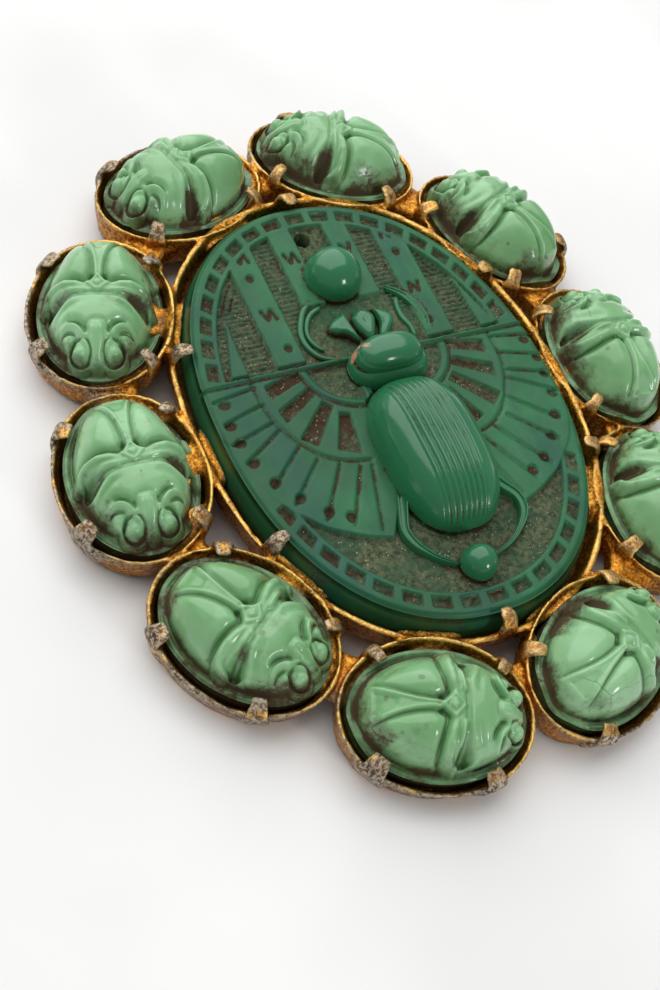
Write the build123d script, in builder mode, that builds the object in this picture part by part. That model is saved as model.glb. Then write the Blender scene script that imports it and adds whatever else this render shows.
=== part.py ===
from build123d import *
import math
import os

# Scarab brooch lying on its back, face up. Lengths are in millimetres.
# The long axis of the plaque runs along Y, with its sun at +Y, and Z = 0 is the surface that it rests on.

# The plaque
plaque_half_width = 15.0
plaque_half_length = 20.2
plaque_squareness = 2.2
plaque_base_spread = 0.45
plaque_rise = 1.2
ground_depth = 0.5
cell_depth = 0.45
hatched_depth = 0.25
rim_band = 2.2
rim_cell_length = 1.45
rim_cell_width = 0.85
rim_cell_pitch = 2.33
hanging_hole = 1.3
relief_shift = 0.3

# The middle setting
bezel_rim_height = 4.4
bezel_depth = 2.5
bezel_floor = 0.6
bezel_wall = 0.75
bezel_flare = 0.3

# The ten small settings
setting_rim_height = 3.6
setting_half_length = 7.18
setting_half_width = 5.33
setting_depth = 2.9
setting_floor = 0.6
setting_wall = 0.6
setting_flare = 0.35
web_half_length = 3.0
web_half_width = 1.8
web_thickness = 2.0
bridge_half_width = 1.3
bridge_thickness = 1.7

# The prongs
prong_width = 1.3
plaque_prong_width = 1.7

# The stones
stone_clearance = 0.3
ledge_height = 0.3
ledge_width = 0.85
back_height = 4.3
eye_radius = 0.95

# The pin
pin_bar_length = 24.0
pin_bar_width = 2.4
pin_bar_thickness = 0.5
pin_wire_radius = 0.4
pin_wire_height = 0.75
pin_y = 7.0

# Each small setting: its number, the place of its middle in half widths of the plaque,
# the way its beetle faces and how far it leans outward, in degrees
settings = [
    (1, -0.529, 1.696, 193.2, 8.0),
    (2, 0.469, 1.723, 154.9, 9.0),
    (3, 1.231, 1.016, 116.3, 8.0),
    (4, 1.449, 0.009, 89.4, 8.0),
    (5, 1.265, -0.962, 73.3, 8.0),
    (6, 0.474, -1.696, 24.2, 12.0),
    (7, -0.529, -1.726, -21.7, 12.0),
    (8, -1.264, -1.020, -55.6, 10.0),
    (9, -1.480, -0.046, -95.3, 9.0),
    (10, -1.274, 0.971, -111.6, 11.0),
]

# Angles of the prongs round an oval, from the head of the stone
setting_prong_angles = [45.0, 132.0, -132.0, -55.0]
plaque_prong_angles = [90.0, 155.0, -154.0, -90.0, -22.0, 27.0]

share = plaque_half_width
plaque_base = bezel_rim_height - bezel_depth + bezel_floor
plaque_top = bezel_rim_height + plaque_rise
ground = plaque_top - ground_depth


def oval_point(half_x, half_y, squareness, angle):
    """Point of an oval that is a little squarer than an ellipse."""
    c = math.cos(angle)
    s = math.sin(angle)
    x = half_x * math.copysign(abs(c) ** (2.0 / squareness), c)
    y = half_y * math.copysign(abs(s) ** (2.0 / squareness), s)
    return (x, y)


def oval_points(half_x, half_y, count=24):
    """Points round the plaque's oval, starting off the axes."""
    turns = [(k + 0.5) * 2.0 * math.pi / count for k in range(count)]
    return [oval_point(half_x, half_y, plaque_squareness, t) for t in turns]


def setting_plane(row):
    """The rim plane of a small setting, X towards the beetle's head and Y towards the middle."""
    number, x, y, heading, lean = row
    h = math.radians(heading)
    b = math.radians(lean)
    outward = (math.sin(h), -math.cos(h))
    normal = (outward[0] * math.sin(b), outward[1] * math.sin(b), math.cos(b))
    return Plane(
        origin=(x * share, y * share, setting_rim_height),
        x_dir=(math.cos(h), math.sin(h), 0),
        z_dir=normal,
    )


def prong_plane(base, x, y, nx, ny):
    """Plane across a rim: X outward, Y up, through a point of the rim of base."""
    size = math.hypot(nx, ny)
    outward = base.x_dir * (nx / size) + base.y_dir * (ny / size)
    along = base.x_dir * (ny / size) - base.y_dir * (nx / size)
    origin = base.origin + base.x_dir * x + base.y_dir * y
    return Plane(origin=origin, x_dir=outward, z_dir=along)


def setting_prong_planes(row):
    """The four prong planes of a small setting."""
    base = setting_plane(row)
    planes = []
    for angle in setting_prong_angles:
        t = math.radians(angle)
        x = setting_half_length * math.cos(t)
        y = setting_half_width * math.sin(t)
        nx = math.cos(t) / setting_half_length
        ny = math.sin(t) / setting_half_width
        planes.append(prong_plane(base, x, y, nx, ny))
    return planes


def plaque_prong_planes():
    """The six prong planes of the middle setting."""
    base = Plane.XY.offset(bezel_rim_height)
    half_x = plaque_half_width + plaque_base_spread + stone_clearance
    half_y = plaque_half_length + plaque_base_spread + stone_clearance
    planes = []
    for angle in plaque_prong_angles:
        t = math.radians(angle)
        x, y = oval_point(half_x, half_y, plaque_squareness, t)
        nx = math.cos(t) / half_x
        ny = math.sin(t) / half_y
        planes.append(prong_plane(base, x, y, nx, ny))
    return planes


def web_plane(first, second):
    """Plane between two neighbouring settings, X along the line of their middles."""
    a = setting_plane(first)
    b = setting_plane(second)
    middle = (a.origin + b.origin) * 0.5
    along = b.origin - a.origin
    normal = a.z_dir + b.z_dir
    return Plane(origin=middle, x_dir=along.normalized(), z_dir=normal.normalized())


def bridge_plane(row):
    """Plane between a small setting and the nearest point of the middle setting, X inward."""
    centre = setting_plane(row).origin
    half_x = plaque_half_width + plaque_base_spread + stone_clearance + bezel_wall
    half_y = plaque_half_length + plaque_base_spread + stone_clearance + bezel_wall
    nearest = None
    gap = None
    for k in range(360):
        x, y = oval_point(half_x, half_y, plaque_squareness, math.radians(k))
        distance = math.hypot(x - centre.X, y - centre.Y)
        if gap is None or distance < gap:
            gap = distance
            nearest = (x, y)
    inward = Vector(nearest[0] - centre.X, nearest[1] - centre.Y, 0).normalized()
    origin = Vector(nearest[0], nearest[1], bezel_rim_height) - inward * 0.3
    return Plane(origin=origin, x_dir=inward, z_dir=(0, 0, 1))


# The gilt frame: outer walls first, then the pockets for the stones, then the prongs
pocket_half_x = plaque_half_width + plaque_base_spread + stone_clearance
pocket_half_y = plaque_half_length + plaque_base_spread + stone_clearance

with BuildPart() as cup_outside:
    with BuildSketch(Plane.XY.offset(-setting_depth)):
        Ellipse(setting_half_length + setting_wall - setting_flare, setting_half_width + setting_wall - setting_flare)
    with BuildSketch():
        Ellipse(setting_half_length + setting_wall, setting_half_width + setting_wall)
    loft()

with BuildPart() as setting_frame:
    with BuildSketch(Plane.XY.offset(bezel_rim_height - bezel_depth)):
        with BuildLine():
            Spline(*oval_points(pocket_half_x + bezel_wall - bezel_flare, pocket_half_y + bezel_wall - bezel_flare),
                   periodic=True)
        make_face()
    with BuildSketch(Plane.XY.offset(bezel_rim_height)):
        with BuildLine():
            Spline(*oval_points(pocket_half_x + bezel_wall, pocket_half_y + bezel_wall), periodic=True)
        make_face()
    loft()
    with Locations(*[setting_plane(row) for row in settings]):
        add(cup_outside.part)
    for k in range(len(settings)):
        with BuildSketch(web_plane(settings[k], settings[(k + 1) % len(settings)]).offset(-0.35)):
            with BuildLine():
                ThreePointArc((-web_half_length, 2.0 * web_half_width), (0, web_half_width),
                              (web_half_length, 2.0 * web_half_width))
                Line((web_half_length, 2.0 * web_half_width), (web_half_length, -2.0 * web_half_width))
                ThreePointArc((web_half_length, -2.0 * web_half_width), (0, -web_half_width),
                              (-web_half_length, -2.0 * web_half_width))
                Line((-web_half_length, -2.0 * web_half_width), (-web_half_length, 2.0 * web_half_width))
            make_face()
    extrude(amount=-web_thickness)
    for row in settings:
        with BuildSketch(bridge_plane(row).offset(-0.6)):
            with BuildLine():
                ThreePointArc((-1.8, 2.0 * bridge_half_width), (0, bridge_half_width), (1.4, 2.0 * bridge_half_width))
                Line((1.4, 2.0 * bridge_half_width), (1.4, -2.0 * bridge_half_width))
                ThreePointArc((1.4, -2.0 * bridge_half_width), (0, -bridge_half_width), (-1.8, -2.0 * bridge_half_width))
                Line((-1.8, -2.0 * bridge_half_width), (-1.8, 2.0 * bridge_half_width))
            make_face()
    extrude(amount=-bridge_thickness)
    with BuildSketch(Plane.XY.offset(bezel_rim_height + 1.0)):
        with BuildLine():
            Spline(*oval_points(pocket_half_x, pocket_half_y), periodic=True)
        make_face()
    extrude(amount=-(bezel_depth - bezel_floor + 1.0), mode=Mode.SUBTRACT)
    for row in settings:
        with BuildSketch(setting_plane(row).offset(1.0)):
            Ellipse(setting_half_length, setting_half_width)
    extrude(amount=-(setting_depth - setting_floor + 1.0), mode=Mode.SUBTRACT)
    for row in settings:
        for plane in setting_prong_planes(row):
            with BuildSketch(plane):
                with BuildLine():
                    Polyline((0.2, -1.7), (0.75, -1.6), (0.85, 0.3), (0.55, 0.85), (-0.6, 1.35), (-0.85, 1.2),
                             (-0.8, 0.9), (0.0, 0.55), (0.2, 0.0), close=True)
                make_face()
    extrude(amount=prong_width / 2, both=True)
    for plane in plaque_prong_planes():
        with BuildSketch(plane):
            with BuildLine():
                Polyline((0.25, -1.6), (0.75, -1.6), (0.95, 0.4), (0.55, 1.7), (0.0, 2.15), (-1.5, 2.05), (-1.75, 1.75),
                         (-1.5, 1.55), (-0.2, 1.55), (0.05, 1.2), (0.25, 0.0), close=True)
            make_face()
    extrude(amount=plaque_prong_width / 2, both=True)
    with Locations((0, 0, -5.0)):
        Box(200, 200, 10.0, mode=Mode.SUBTRACT)

# The moulded glass plaque, with the forms of its relief as shares of its half width
wing_curve = [(-0.985, -0.10), (-0.95, -0.30), (-0.87, -0.48), (-0.78, -0.58), (-0.60, -0.72), (-0.38, -0.81)]
wing_cells = [
    [(-0.67, 0.22), (-0.46, 0.28), (-0.455, 0.22), (-0.66, 0.145)],
    [(-0.655, 0.06), (-0.44, 0.16), (-0.425, 0.11), (-0.64, -0.015)],
    [(-0.61, -0.13), (-0.40, 0.06), (-0.36, 0.02), (-0.54, -0.19)],
    [(-0.44, -0.24), (-0.34, -0.03), (-0.29, -0.05), (-0.33, -0.29)],
]
wing_line = 0.29
wing_inner_side = [(0.25, -0.60), (0.17, 0.0), (0.28, 0.03), (0.37, 0.08), (0.42, 0.18), (0.42, wing_line), (0.985, wing_line)]
front_leg = [(0.07, 0.27), (0.20, 0.31), (0.29, 0.43), (0.29, 0.56), (0.22, 0.67)]
hind_leg = [(0.30, -0.62), (0.35, -0.80), (0.29, -0.96), (0.10, -1.07)]
# Upright bands above the wings: inner and outer side and the height where they start, smooth ones first
smooth_bands = [(0.10, 0.25, 0.74), (0.36, 0.54, 0.32), (0.69, 0.86, 0.32)]
hatched_bands = [(0.25, 0.36, 0.70), (0.54, 0.69, 0.32)]

# The beetle's rounded wing cases and the shield behind its head, each cut off below the ground
wing_case_middle = (relief_shift, share * -0.42, plaque_top - 0.6)
with BuildPart() as wing_cases:
    with BuildSketch(Plane(origin=wing_case_middle, x_dir=(0, 1, 0), z_dir=(1, 0, 0))):
        Ellipse(share * 0.46, share * 0.31)
        with Locations((0, -share)):
            Rectangle(4 * share, 2 * share, mode=Mode.SUBTRACT)
    revolve(axis=Axis(wing_case_middle, (0, 1, 0)), revolution_arc=360)
    with Locations((0, 0, ground - 0.2 - share)):
        Box(4 * share, 4 * share, 2 * share, mode=Mode.SUBTRACT)

shield_middle = (relief_shift, share * 0.15, plaque_top + 2.4)
with BuildPart() as shield:
    with BuildSketch(Plane(origin=shield_middle, x_dir=(1, 0, 0), z_dir=(0, 1, 0))):
        Ellipse(share * 0.20, share * 0.125)
        with Locations((0, -share)):
            Rectangle(4 * share, 2 * share, mode=Mode.SUBTRACT)
    revolve(axis=Axis(shield_middle, (1, 0, 0)), revolution_arc=360)

with BuildPart() as centre_plaque:
    with BuildSketch(Plane.XY.offset(plaque_base)):
        with BuildLine():
            Spline(*oval_points(plaque_half_width + plaque_base_spread, plaque_half_length + plaque_base_spread),
                   periodic=True)
        make_face()
    with BuildSketch(Plane.XY.offset(plaque_top)):
        with BuildLine():
            Spline(*oval_points(plaque_half_width, plaque_half_length), periodic=True)
        make_face()
    loft()
    with BuildSketch(Plane.XY.offset(plaque_top)):
        with BuildLine():
            Spline(*oval_points(plaque_half_width - rim_band, plaque_half_length - rim_band), periodic=True)
        make_face()
    extrude(amount=-ground_depth, mode=Mode.SUBTRACT)
    for bands, lowered in ((smooth_bands, 0.0), (hatched_bands, hatched_depth)):
        with BuildSketch(Plane.XY.offset(ground - 0.2)):
            for inner, outer, start in bands:
                for side in (-1, 1):
                    with Locations((relief_shift + side * share * (inner + outer) / 2, share * (start + 1.4) / 2)):
                        Rectangle(share * (outer - inner), share * (1.4 - start))
            with BuildLine():
                Spline(*oval_points(plaque_half_width - rim_band + 0.2, plaque_half_length - rim_band + 0.2),
                       periodic=True)
            make_face(mode=Mode.INTERSECT)
        extrude(amount=ground_depth + 0.2 - lowered)
    with BuildSketch(Plane.XY.offset(ground - 0.2)):
        for side in (-1, 1):
            with BuildLine():
                curve = [(relief_shift - side * share * x, share * y) for x, y in wing_curve]
                Spline(*curve)
                inner_side = [(relief_shift + side * share * x, share * y) for x, y in wing_inner_side]
                Polyline(curve[-1], *inner_side, curve[0])
            make_face()
        with BuildLine():
            Spline(*oval_points(plaque_half_width - 0.4, plaque_half_length - 0.4), periodic=True)
        make_face(mode=Mode.INTERSECT)
    extrude(amount=ground_depth + 0.2)
    with BuildSketch(Plane.XY.offset(ground - 0.2)):
        for side in (-1, 1):
            for curve, width in ((front_leg, 0.05), (hind_leg, 0.04)):
                with BuildLine():
                    Spline(*[(relief_shift + side * share * x, share * y) for x, y in curve])
                trace(line_width=share * width)
    extrude(amount=ground_depth + 0.45)
    cell_half_x = plaque_half_width - 0.58 * rim_band
    cell_half_y = plaque_half_length - 0.58 * rim_band
    cell_angles = []
    travelled = 0.0
    last = oval_point(cell_half_x, cell_half_y, plaque_squareness, math.pi / 2)
    for k in range(1, 3601):
        angle = math.pi / 2 - k * math.pi / 1800
        point = oval_point(cell_half_x, cell_half_y, plaque_squareness, angle)
        travelled += math.hypot(point[0] - last[0], point[1] - last[1])
        last = point
        if travelled >= rim_cell_pitch * len(cell_angles) and angle > -math.pi / 2:
            cell_angles.append(angle)
    with BuildSketch(Plane.XY.offset(plaque_top)):
        for side in (-1, 1):
            for cell in wing_cells:
                with BuildLine():
                    Polyline(*[(relief_shift - side * share * x, share * y) for x, y in cell], close=True)
                make_face()
        for angle in cell_angles:
            x, y = oval_point(cell_half_x, cell_half_y, plaque_squareness, angle)
            turn = math.degrees(math.atan2(math.sin(angle) / cell_half_y, math.cos(angle) / cell_half_x)) + 90
            if y > share * (wing_line + 0.08) or y < share * -0.5:
                for side in (-1, 1):
                    with Locations(Location((side * x, y, 0), (0, 0, side * turn))):
                        Rectangle(rim_cell_length, rim_cell_width)
    extrude(amount=-cell_depth, mode=Mode.SUBTRACT)
    with Locations((0, share * 1.13, plaque_top)):
        Cylinder(hanging_hole / 2, 20, mode=Mode.SUBTRACT)
    # The sun and the ball that the beetle rolls
    with BuildSketch(Plane.XY.offset(ground - 0.2)):
        with Locations((relief_shift, share * 0.82)):
            Circle(share * 0.165)
        with Locations((0, share * -1.07)):
            Circle(share * 0.095)
    extrude(amount=ground_depth + 0.5)
    with Locations((relief_shift, share * 0.82, plaque_top + 0.3)):
        Sphere(share * 0.165)
    with Locations((0, share * -1.07, plaque_top + 0.3)):
        Sphere(share * 0.095)
    # The wing cases, the collar and the shield behind the head
    with BuildSketch(Plane.XY.offset(ground - 0.2)):
        with Locations((relief_shift, share * 0.13)):
            Ellipse(share * 0.23, share * 0.16)
    extrude(amount=ground_depth + 1.6)
    with BuildSketch(Plane.XY.offset(ground - 0.2)):
        with Locations((relief_shift, share * 0.15)):
            Ellipse(share * 0.19, share * 0.115)
    extrude(amount=ground_depth + 2.9)
    for side in (-1, 0, 1):
        with BuildSketch(Plane.XY.offset(ground - 0.2)):
            with Locations(Location((relief_shift + side * share * 0.13, share * 0.38, 0), (0, 0, -20 * side))):
                Ellipse(share * 0.065, share * 0.10)
        extrude(amount=ground_depth + 1.3)
    add(wing_cases.part)
    add(shield.part)

# One small moulded glass beetle, its head towards +X and Z = 0 at the rim of its setting
stone_half_length = setting_half_length - stone_clearance
stone_half_width = setting_half_width - stone_clearance
stone_base = setting_floor - setting_depth
# Height of the back along the stone: shares of the half length and of back_height
rear_profile = [(-0.83, 0.0), (-0.78, 0.36), (-0.62, 0.74), (-0.26, 1.0), (0.04, 0.88)]
front_profile = [(0.04, 0.88), (0.19, 0.93), (0.41, 0.95), (0.62, 0.87), (0.78, 0.62), (0.86, 0.30), (0.88, 0.0)]
leg_curve = [(0.06, 0.22), (0.02, 0.45), (0.05, 0.66), (0.16, 0.82)]


def back_points(table, extra):
    """Points of the back's outline for a table of shares, raised by extra."""
    return [(stone_half_length * x, back_height * z + (extra if z > 0 else 0.0)) for x, z in table]


with BuildPart() as stone_back:
    with BuildSketch(Plane.XZ):
        with BuildLine():
            rear = Spline(*back_points(rear_profile, 0.0))
            front = Spline(*back_points(front_profile, 0.0))
            Line(front @ 1, rear @ 0)
        make_face()
    revolve(axis=Axis.X, revolution_arc=360)
    with BuildSketch(Plane.XY.offset(-0.5)):
        Ellipse(stone_half_length - 0.8 * ledge_width, stone_half_width - ledge_width)
    extrude(amount=2 * share, mode=Mode.INTERSECT)

with BuildPart() as stone_lines:
    with BuildSketch(Plane.XZ):
        with BuildLine():
            rear = Spline(*back_points(rear_profile, 0.25))
            front = Spline(*back_points(front_profile, 0.25))
            Line(front @ 1, rear @ 0)
        make_face()
    revolve(axis=Axis.X, revolution_arc=360)
    with BuildSketch():
        with BuildLine():
            Polyline((stone_half_length * -0.04, 0.12), (stone_half_length * 0.05, stone_half_width * 0.14),
                     (stone_half_length * 0.14, 0.0), (stone_half_length * 0.05, stone_half_width * -0.14),
                     (stone_half_length * -0.04, -0.12), (stone_half_length * -0.74, stone_half_width * -0.30),
                     (stone_half_length * -0.74, stone_half_width * 0.30), close=True)
        make_face()
        for side in (-1, 1):
            with BuildLine():
                Spline(*[(stone_half_length * x, side * stone_half_width * y) for x, y in leg_curve])
            trace(line_width=0.7)
    extrude(amount=2 * share, mode=Mode.INTERSECT)

with BuildPart() as stone:
    with BuildSketch(Plane.XY.offset(stone_base)):
        Ellipse(stone_half_length, stone_half_width)
    extrude(amount=ledge_height - stone_base)
    fillet(stone.edges().group_by(Axis.Z)[-1], radius=0.4)
    add(stone_back.part)
    add(stone_lines.part)
    with Locations((stone_half_length * 0.78, 1.35, 1.0), (stone_half_length * 0.78, -1.35, 1.0)):
        Sphere(eye_radius)

# The plain pin across the back: a bar, a hinge block, a catch block and the wire between them
pin_top = bezel_rim_height - bezel_depth
with BuildPart() as pin:
    with BuildSketch(Plane.XY.offset(pin_top)):
        with Locations((0, pin_y)):
            SlotOverall(pin_bar_length, pin_bar_width)
    extrude(amount=-pin_bar_thickness)
    with Locations((-pin_bar_length * 0.42, pin_y, pin_wire_height + 0.25), (pin_bar_length * 0.42, pin_y, pin_wire_height + 0.25)):
        Box(2.0, pin_bar_width * 0.75, 2 * (pin_top - pin_bar_thickness - pin_wire_height - 0.25) + 0.2)
    with BuildSketch(Plane.YZ.offset(-pin_bar_length * 0.42)):
        with Locations((pin_y, pin_wire_height)):
            Circle(pin_wire_radius)
    extrude(amount=pin_bar_length * 0.84 + 1.5)

# Everything is moved sideways so that the origin is under the middle of the whole brooch
outline = setting_frame.part.bounding_box()
to_origin = Location((-(outline.min.X + outline.max.X) / 2, -(outline.min.Y + outline.max.Y) / 2, 0))

os.makedirs("parts", exist_ok=True)

placed_frame = to_origin * setting_frame.part
placed_frame.label = "setting_frame"
export_step(placed_frame, "parts/setting_frame.step")

placed_plaque = to_origin * centre_plaque.part
placed_plaque.label = "centre_plaque"
export_step(placed_plaque, "parts/centre_plaque.step")

placed_pin = to_origin * pin.part
placed_pin.label = "pin"
export_step(placed_pin, "parts/pin.step")

for row in settings:
    name = "scarab_stone_%02d" % row[0]
    placed_stone = to_origin * setting_plane(row).location * stone.part
    placed_stone.label = name
    export_step(placed_stone, "parts/" + name + ".step")
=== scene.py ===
"""Scarab brooch: the finished surfaces, materials and setting of the picture."""
import bpy
import math
import numpy as np
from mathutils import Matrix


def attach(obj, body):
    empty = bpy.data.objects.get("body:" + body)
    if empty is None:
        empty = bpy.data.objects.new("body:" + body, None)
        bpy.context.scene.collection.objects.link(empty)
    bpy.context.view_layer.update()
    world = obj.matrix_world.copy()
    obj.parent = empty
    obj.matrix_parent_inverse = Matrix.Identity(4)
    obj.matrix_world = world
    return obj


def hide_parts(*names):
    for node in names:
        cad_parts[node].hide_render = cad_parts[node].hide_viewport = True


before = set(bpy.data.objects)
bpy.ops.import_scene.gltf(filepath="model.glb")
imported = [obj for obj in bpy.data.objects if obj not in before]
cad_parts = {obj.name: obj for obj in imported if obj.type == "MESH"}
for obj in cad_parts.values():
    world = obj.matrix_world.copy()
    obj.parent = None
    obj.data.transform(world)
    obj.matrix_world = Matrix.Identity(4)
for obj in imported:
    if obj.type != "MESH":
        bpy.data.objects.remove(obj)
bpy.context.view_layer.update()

bl_info = {
    "name": "Scarab brooch",
    "version": (1, 0, 0),
    "blender": (4, 5, 0),
    "location": "3D View > Sidebar > Brooch",
    "description": "Makes the gilt frame, the moulded glass stones and the pin of a scarab brooch",
    "category": "Object",
}

# Sizes are in millimetres, and a share is a length over half the width of the plaque.
MM = 0.001
SHARE = 15.0
MIDDLE = np.array([0.234265, -0.03782, 0.0])
BEZEL_RIM = 4.4
BEZEL_HALF_WIDTH = 15.75
BEZEL_HALF_LENGTH = 20.95
SETTING_RIM = 3.6
CUP_HALF_LENGTH = 6.98
CUP_HALF_WIDTH = 5.33
# each small setting: number, x and y in shares, heading and lean in degrees, as in the solids
SETTINGS = [
    (1, -0.529, 1.696, 193.2, 8.0),
    (2, 0.469, 1.723, 154.9, 9.0),
    (3, 1.231, 1.016, 116.3, 8.0),
    (4, 1.449, 0.009, 89.4, 8.0),
    (5, 1.265, -0.962, 73.3, 8.0),
    (6, 0.474, -1.696, 24.2, 12.0),
    (7, -0.529, -1.726, -21.7, 12.0),
    (8, -1.264, -1.020, -55.6, 10.0),
    (9, -1.480, -0.046, -95.3, 9.0),
    (10, -1.274, 0.971, -111.6, 11.0),
]
# prongs in degrees round their setting, and the share of the usual width that those of a small one have
SETTING_PRONGS = [45.0, 132.0, -132.0, -55.0]
SETTING_PRONG_WIDTHS = [1.0, 1.0, 1.42, 1.36]
PLAQUE_PRONGS = [90.0, 159.5, -154.0, -90.0, -22.0, 27.0]


# ---------------------------------------------------------------- shapes in numpy

def ease(low, high, x):
    """Smooth step: 0 below low, 1 above high and 3t^2 - 2t^3 between, t the share of the way."""
    t = np.clip((x - low) / (high - low), 0.0, 1.0)
    return t * t * (3.0 - 2.0 * t)


def bell(distance, width):
    """Bell: e to the power of minus the square of distance over width."""
    return np.exp(-(distance / width) ** 2)


def superellipse(angle, power):
    """Oval |x|^power + |y|^power = 1 at each angle: cosine and sine to the power 2 / power, signs kept."""
    c, s = np.cos(angle), np.sin(angle)
    return np.sign(c) * np.abs(c) ** (2 / power), np.sign(s) * np.abs(s) ** (2 / power)


def oval_reach(angle, power):
    """How far from the middle the oval |x|^power + |y|^power = 1 is at each angle."""
    return (np.abs(np.cos(angle)) ** power + np.abs(np.sin(angle)) ** power) ** (-1 / power)


def curve(points, count=12):
    """Smooth line through the points: Catmull-Rom cubic pieces, count steps each."""
    p = np.asarray(points, float)
    p = np.vstack([2 * p[0] - p[1], p, 2 * p[-1] - p[-2]])
    t = (np.arange(count) / count)[:, None]
    pieces = []
    for k in range(1, len(p) - 2):
        a, b, c, d = p[k - 1], p[k], p[k + 1], p[k + 2]
        pieces.append(0.5 * (2 * b + (c - a) * t + (2 * a - 5 * b + 4 * c - d) * t ** 2
                             + (3 * b - a - 3 * c + d) * t ** 3))
    pieces.append(p[-2][None, :])
    return np.vstack(pieces)


def near(x, y, line):
    """Distance from each point to a line of short runs, and how far along it the nearest place is, 0 to 1."""
    line = np.asarray(line, float)
    best = np.full(x.shape, 1e9)
    along = np.zeros(x.shape)
    length = np.concatenate([[0.0], np.cumsum(np.hypot(*(line[1:] - line[:-1]).T))])
    for k in range(len(line) - 1):
        a, b = line[k], line[k + 1]
        ex, ey = b - a
        run = max(ex * ex + ey * ey, 1e-12)
        t = np.clip(((x - a[0]) * ex + (y - a[1]) * ey) / run, 0.0, 1.0)
        d = np.hypot(x - a[0] - t * ex, y - a[1] - t * ey)
        closer = d < best
        best = np.where(closer, d, best)
        along = np.where(closer, length[k] + t * (length[k + 1] - length[k]), along)
    return best, along / length[-1]


def inside(x, y, outline):
    """Signed distance to a closed outline, negative within: the nearest side, signed by the even-odd rule."""
    line = np.vstack([outline, outline[:1]])
    d, _ = near(x, y, line)
    odd = np.zeros(x.shape, bool)
    for k in range(len(line) - 1):
        (ax, ay), (bx, by) = line[k], line[k + 1]
        crosses = (ay > y) != (by > y)
        at = ax + (y - ay) * (bx - ax) / (by - ay if by != ay else 1e-12)
        odd ^= crosses & (x < at)
    return np.where(odd, -d, d)


def cloud(p, size, seed):
    """Soft noise from -1 to 1: seeded random values, blended between the eight corners of each cell."""
    table = np.random.default_rng(seed).uniform(-1.0, 1.0, (16, 16, 16))
    q = np.asarray(p) / size
    whole = np.floor(q).astype(int)
    t = q - whole
    t = t * t * (3.0 - 2.0 * t)
    total = np.zeros(len(q))
    for corner in range(8):
        pick = [(corner >> axis) & 1 for axis in range(3)]
        weight = np.ones(len(q))
        index = []
        for axis in range(3):
            weight = weight * (t[:, axis] if pick[axis] else 1.0 - t[:, axis])
            index.append((whole[:, axis] + pick[axis]) % 16)
        total += weight * table[index[0], index[1], index[2]]
    return total


def lay_mesh(name, points, quads, triangles=None, masks=None):
    """Object from arrays: points in millimetres, faces as rows of indices and masks as point values."""
    mesh = bpy.data.meshes.new(name)
    triangles = np.zeros((0, 3), int) if triangles is None else triangles
    loops = np.concatenate([quads.ravel(), triangles.ravel()]).astype(np.int32)
    sizes = np.concatenate([np.full(len(quads), 4), np.full(len(triangles), 3)]).astype(np.int32)
    starts = np.concatenate([[0], np.cumsum(sizes)[:-1]]).astype(np.int32)
    mesh.vertices.add(len(points))
    mesh.vertices.foreach_set("co", (points * MM).astype(np.float32).ravel())
    mesh.loops.add(len(loops))
    mesh.loops.foreach_set("vertex_index", loops)
    mesh.polygons.add(len(sizes))
    mesh.polygons.foreach_set("loop_start", starts)
    mesh.polygons.foreach_set("use_smooth", np.ones(len(sizes), bool))
    mesh.update(calc_edges=True)
    mesh.validate()
    for mask, values in (masks or {}).items():
        layer = mesh.attributes.new(mask, "FLOAT", "POINT")
        layer.data.foreach_set("value", np.asarray(values, np.float32))
    made = bpy.data.objects.new(name, mesh)
    bpy.context.collection.objects.link(made)
    return made


def oval_sheet(across, along):
    """Points of the unit disc on a square grid: (u sqrt(1 - v^2/2), v sqrt(1 - u^2/2)).

    Gives x, y, the quads and the indices round the edge, counterclockwise.
    """
    u, v = np.meshgrid(np.linspace(-1, 1, across), np.linspace(-1, 1, along), indexing="ij")
    x = (u * np.sqrt(1 - v * v / 2)).ravel()
    y = (v * np.sqrt(1 - u * u / 2)).ravel()
    index = np.arange(across * along).reshape(across, along)
    quads = np.stack([index[:-1, :-1], index[1:, :-1], index[1:, 1:], index[:-1, 1:]], -1).reshape(-1, 4)
    ring = np.concatenate([index[:-1, 0], index[-1, :-1], index[:0:-1, -1], index[0, :0:-1]])
    return x, y, quads, ring


def soften(values, shape, times):
    """Mean with the four neighbours on the grid, repeated."""
    grid = values.reshape(shape)
    for _ in range(times):
        pad = np.pad(grid, 1, mode="edge")
        grid = (grid * 4 + pad[:-2, 1:-1] + pad[2:, 1:-1] + pad[1:-1, :-2] + pad[1:-1, 2:]) / 8.0
    return grid.ravel()


def close_under(x, y, z, quads, ring, wall, masks):
    """Closes a sheet into a solid: its edge again at each scale and height of the wall, then a point."""
    points = [np.stack([x, y, z], -1)]
    faces = [quads]
    count = len(x)
    last = ring
    for scale, height in wall:
        loop = np.arange(count, count + len(ring))
        points.append(np.stack([x[ring] * scale, y[ring] * scale, np.full(len(ring), height)], -1))
        faces.append(np.stack([last, loop, np.roll(loop, -1), np.roll(last, -1)], -1)[:, ::-1])
        last = loop
        count += len(ring)
    points.append(np.array([[0.0, 0.0, wall[-1][1]]]))
    fan = np.stack([np.roll(last, -1), last, np.full(len(ring), count)], -1)
    extra = count + 1 - len(x)
    masks = {name: np.concatenate([values, np.full(extra, values[ring].mean())])
             for name, values in masks.items()}
    return np.vstack(points), np.vstack(faces), fan, masks


def hoops(rows, count):
    """Quads between rows of points that each go once round."""
    index = np.arange(rows * count).reshape(rows, count)
    nxt = np.roll(index, -1, 1)
    return np.stack([index[:-1], nxt[:-1], nxt[1:], index[1:]], -1).reshape(-1, 4)


def joined(parts):
    """Parts as one: their points stacked and their quads renumbered."""
    points, quads, count = [], [], 0
    for p, q in parts:
        points.append(p)
        quads.append(q + count)
        count += len(p)
    return np.vstack(points), np.vstack(quads)


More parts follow.
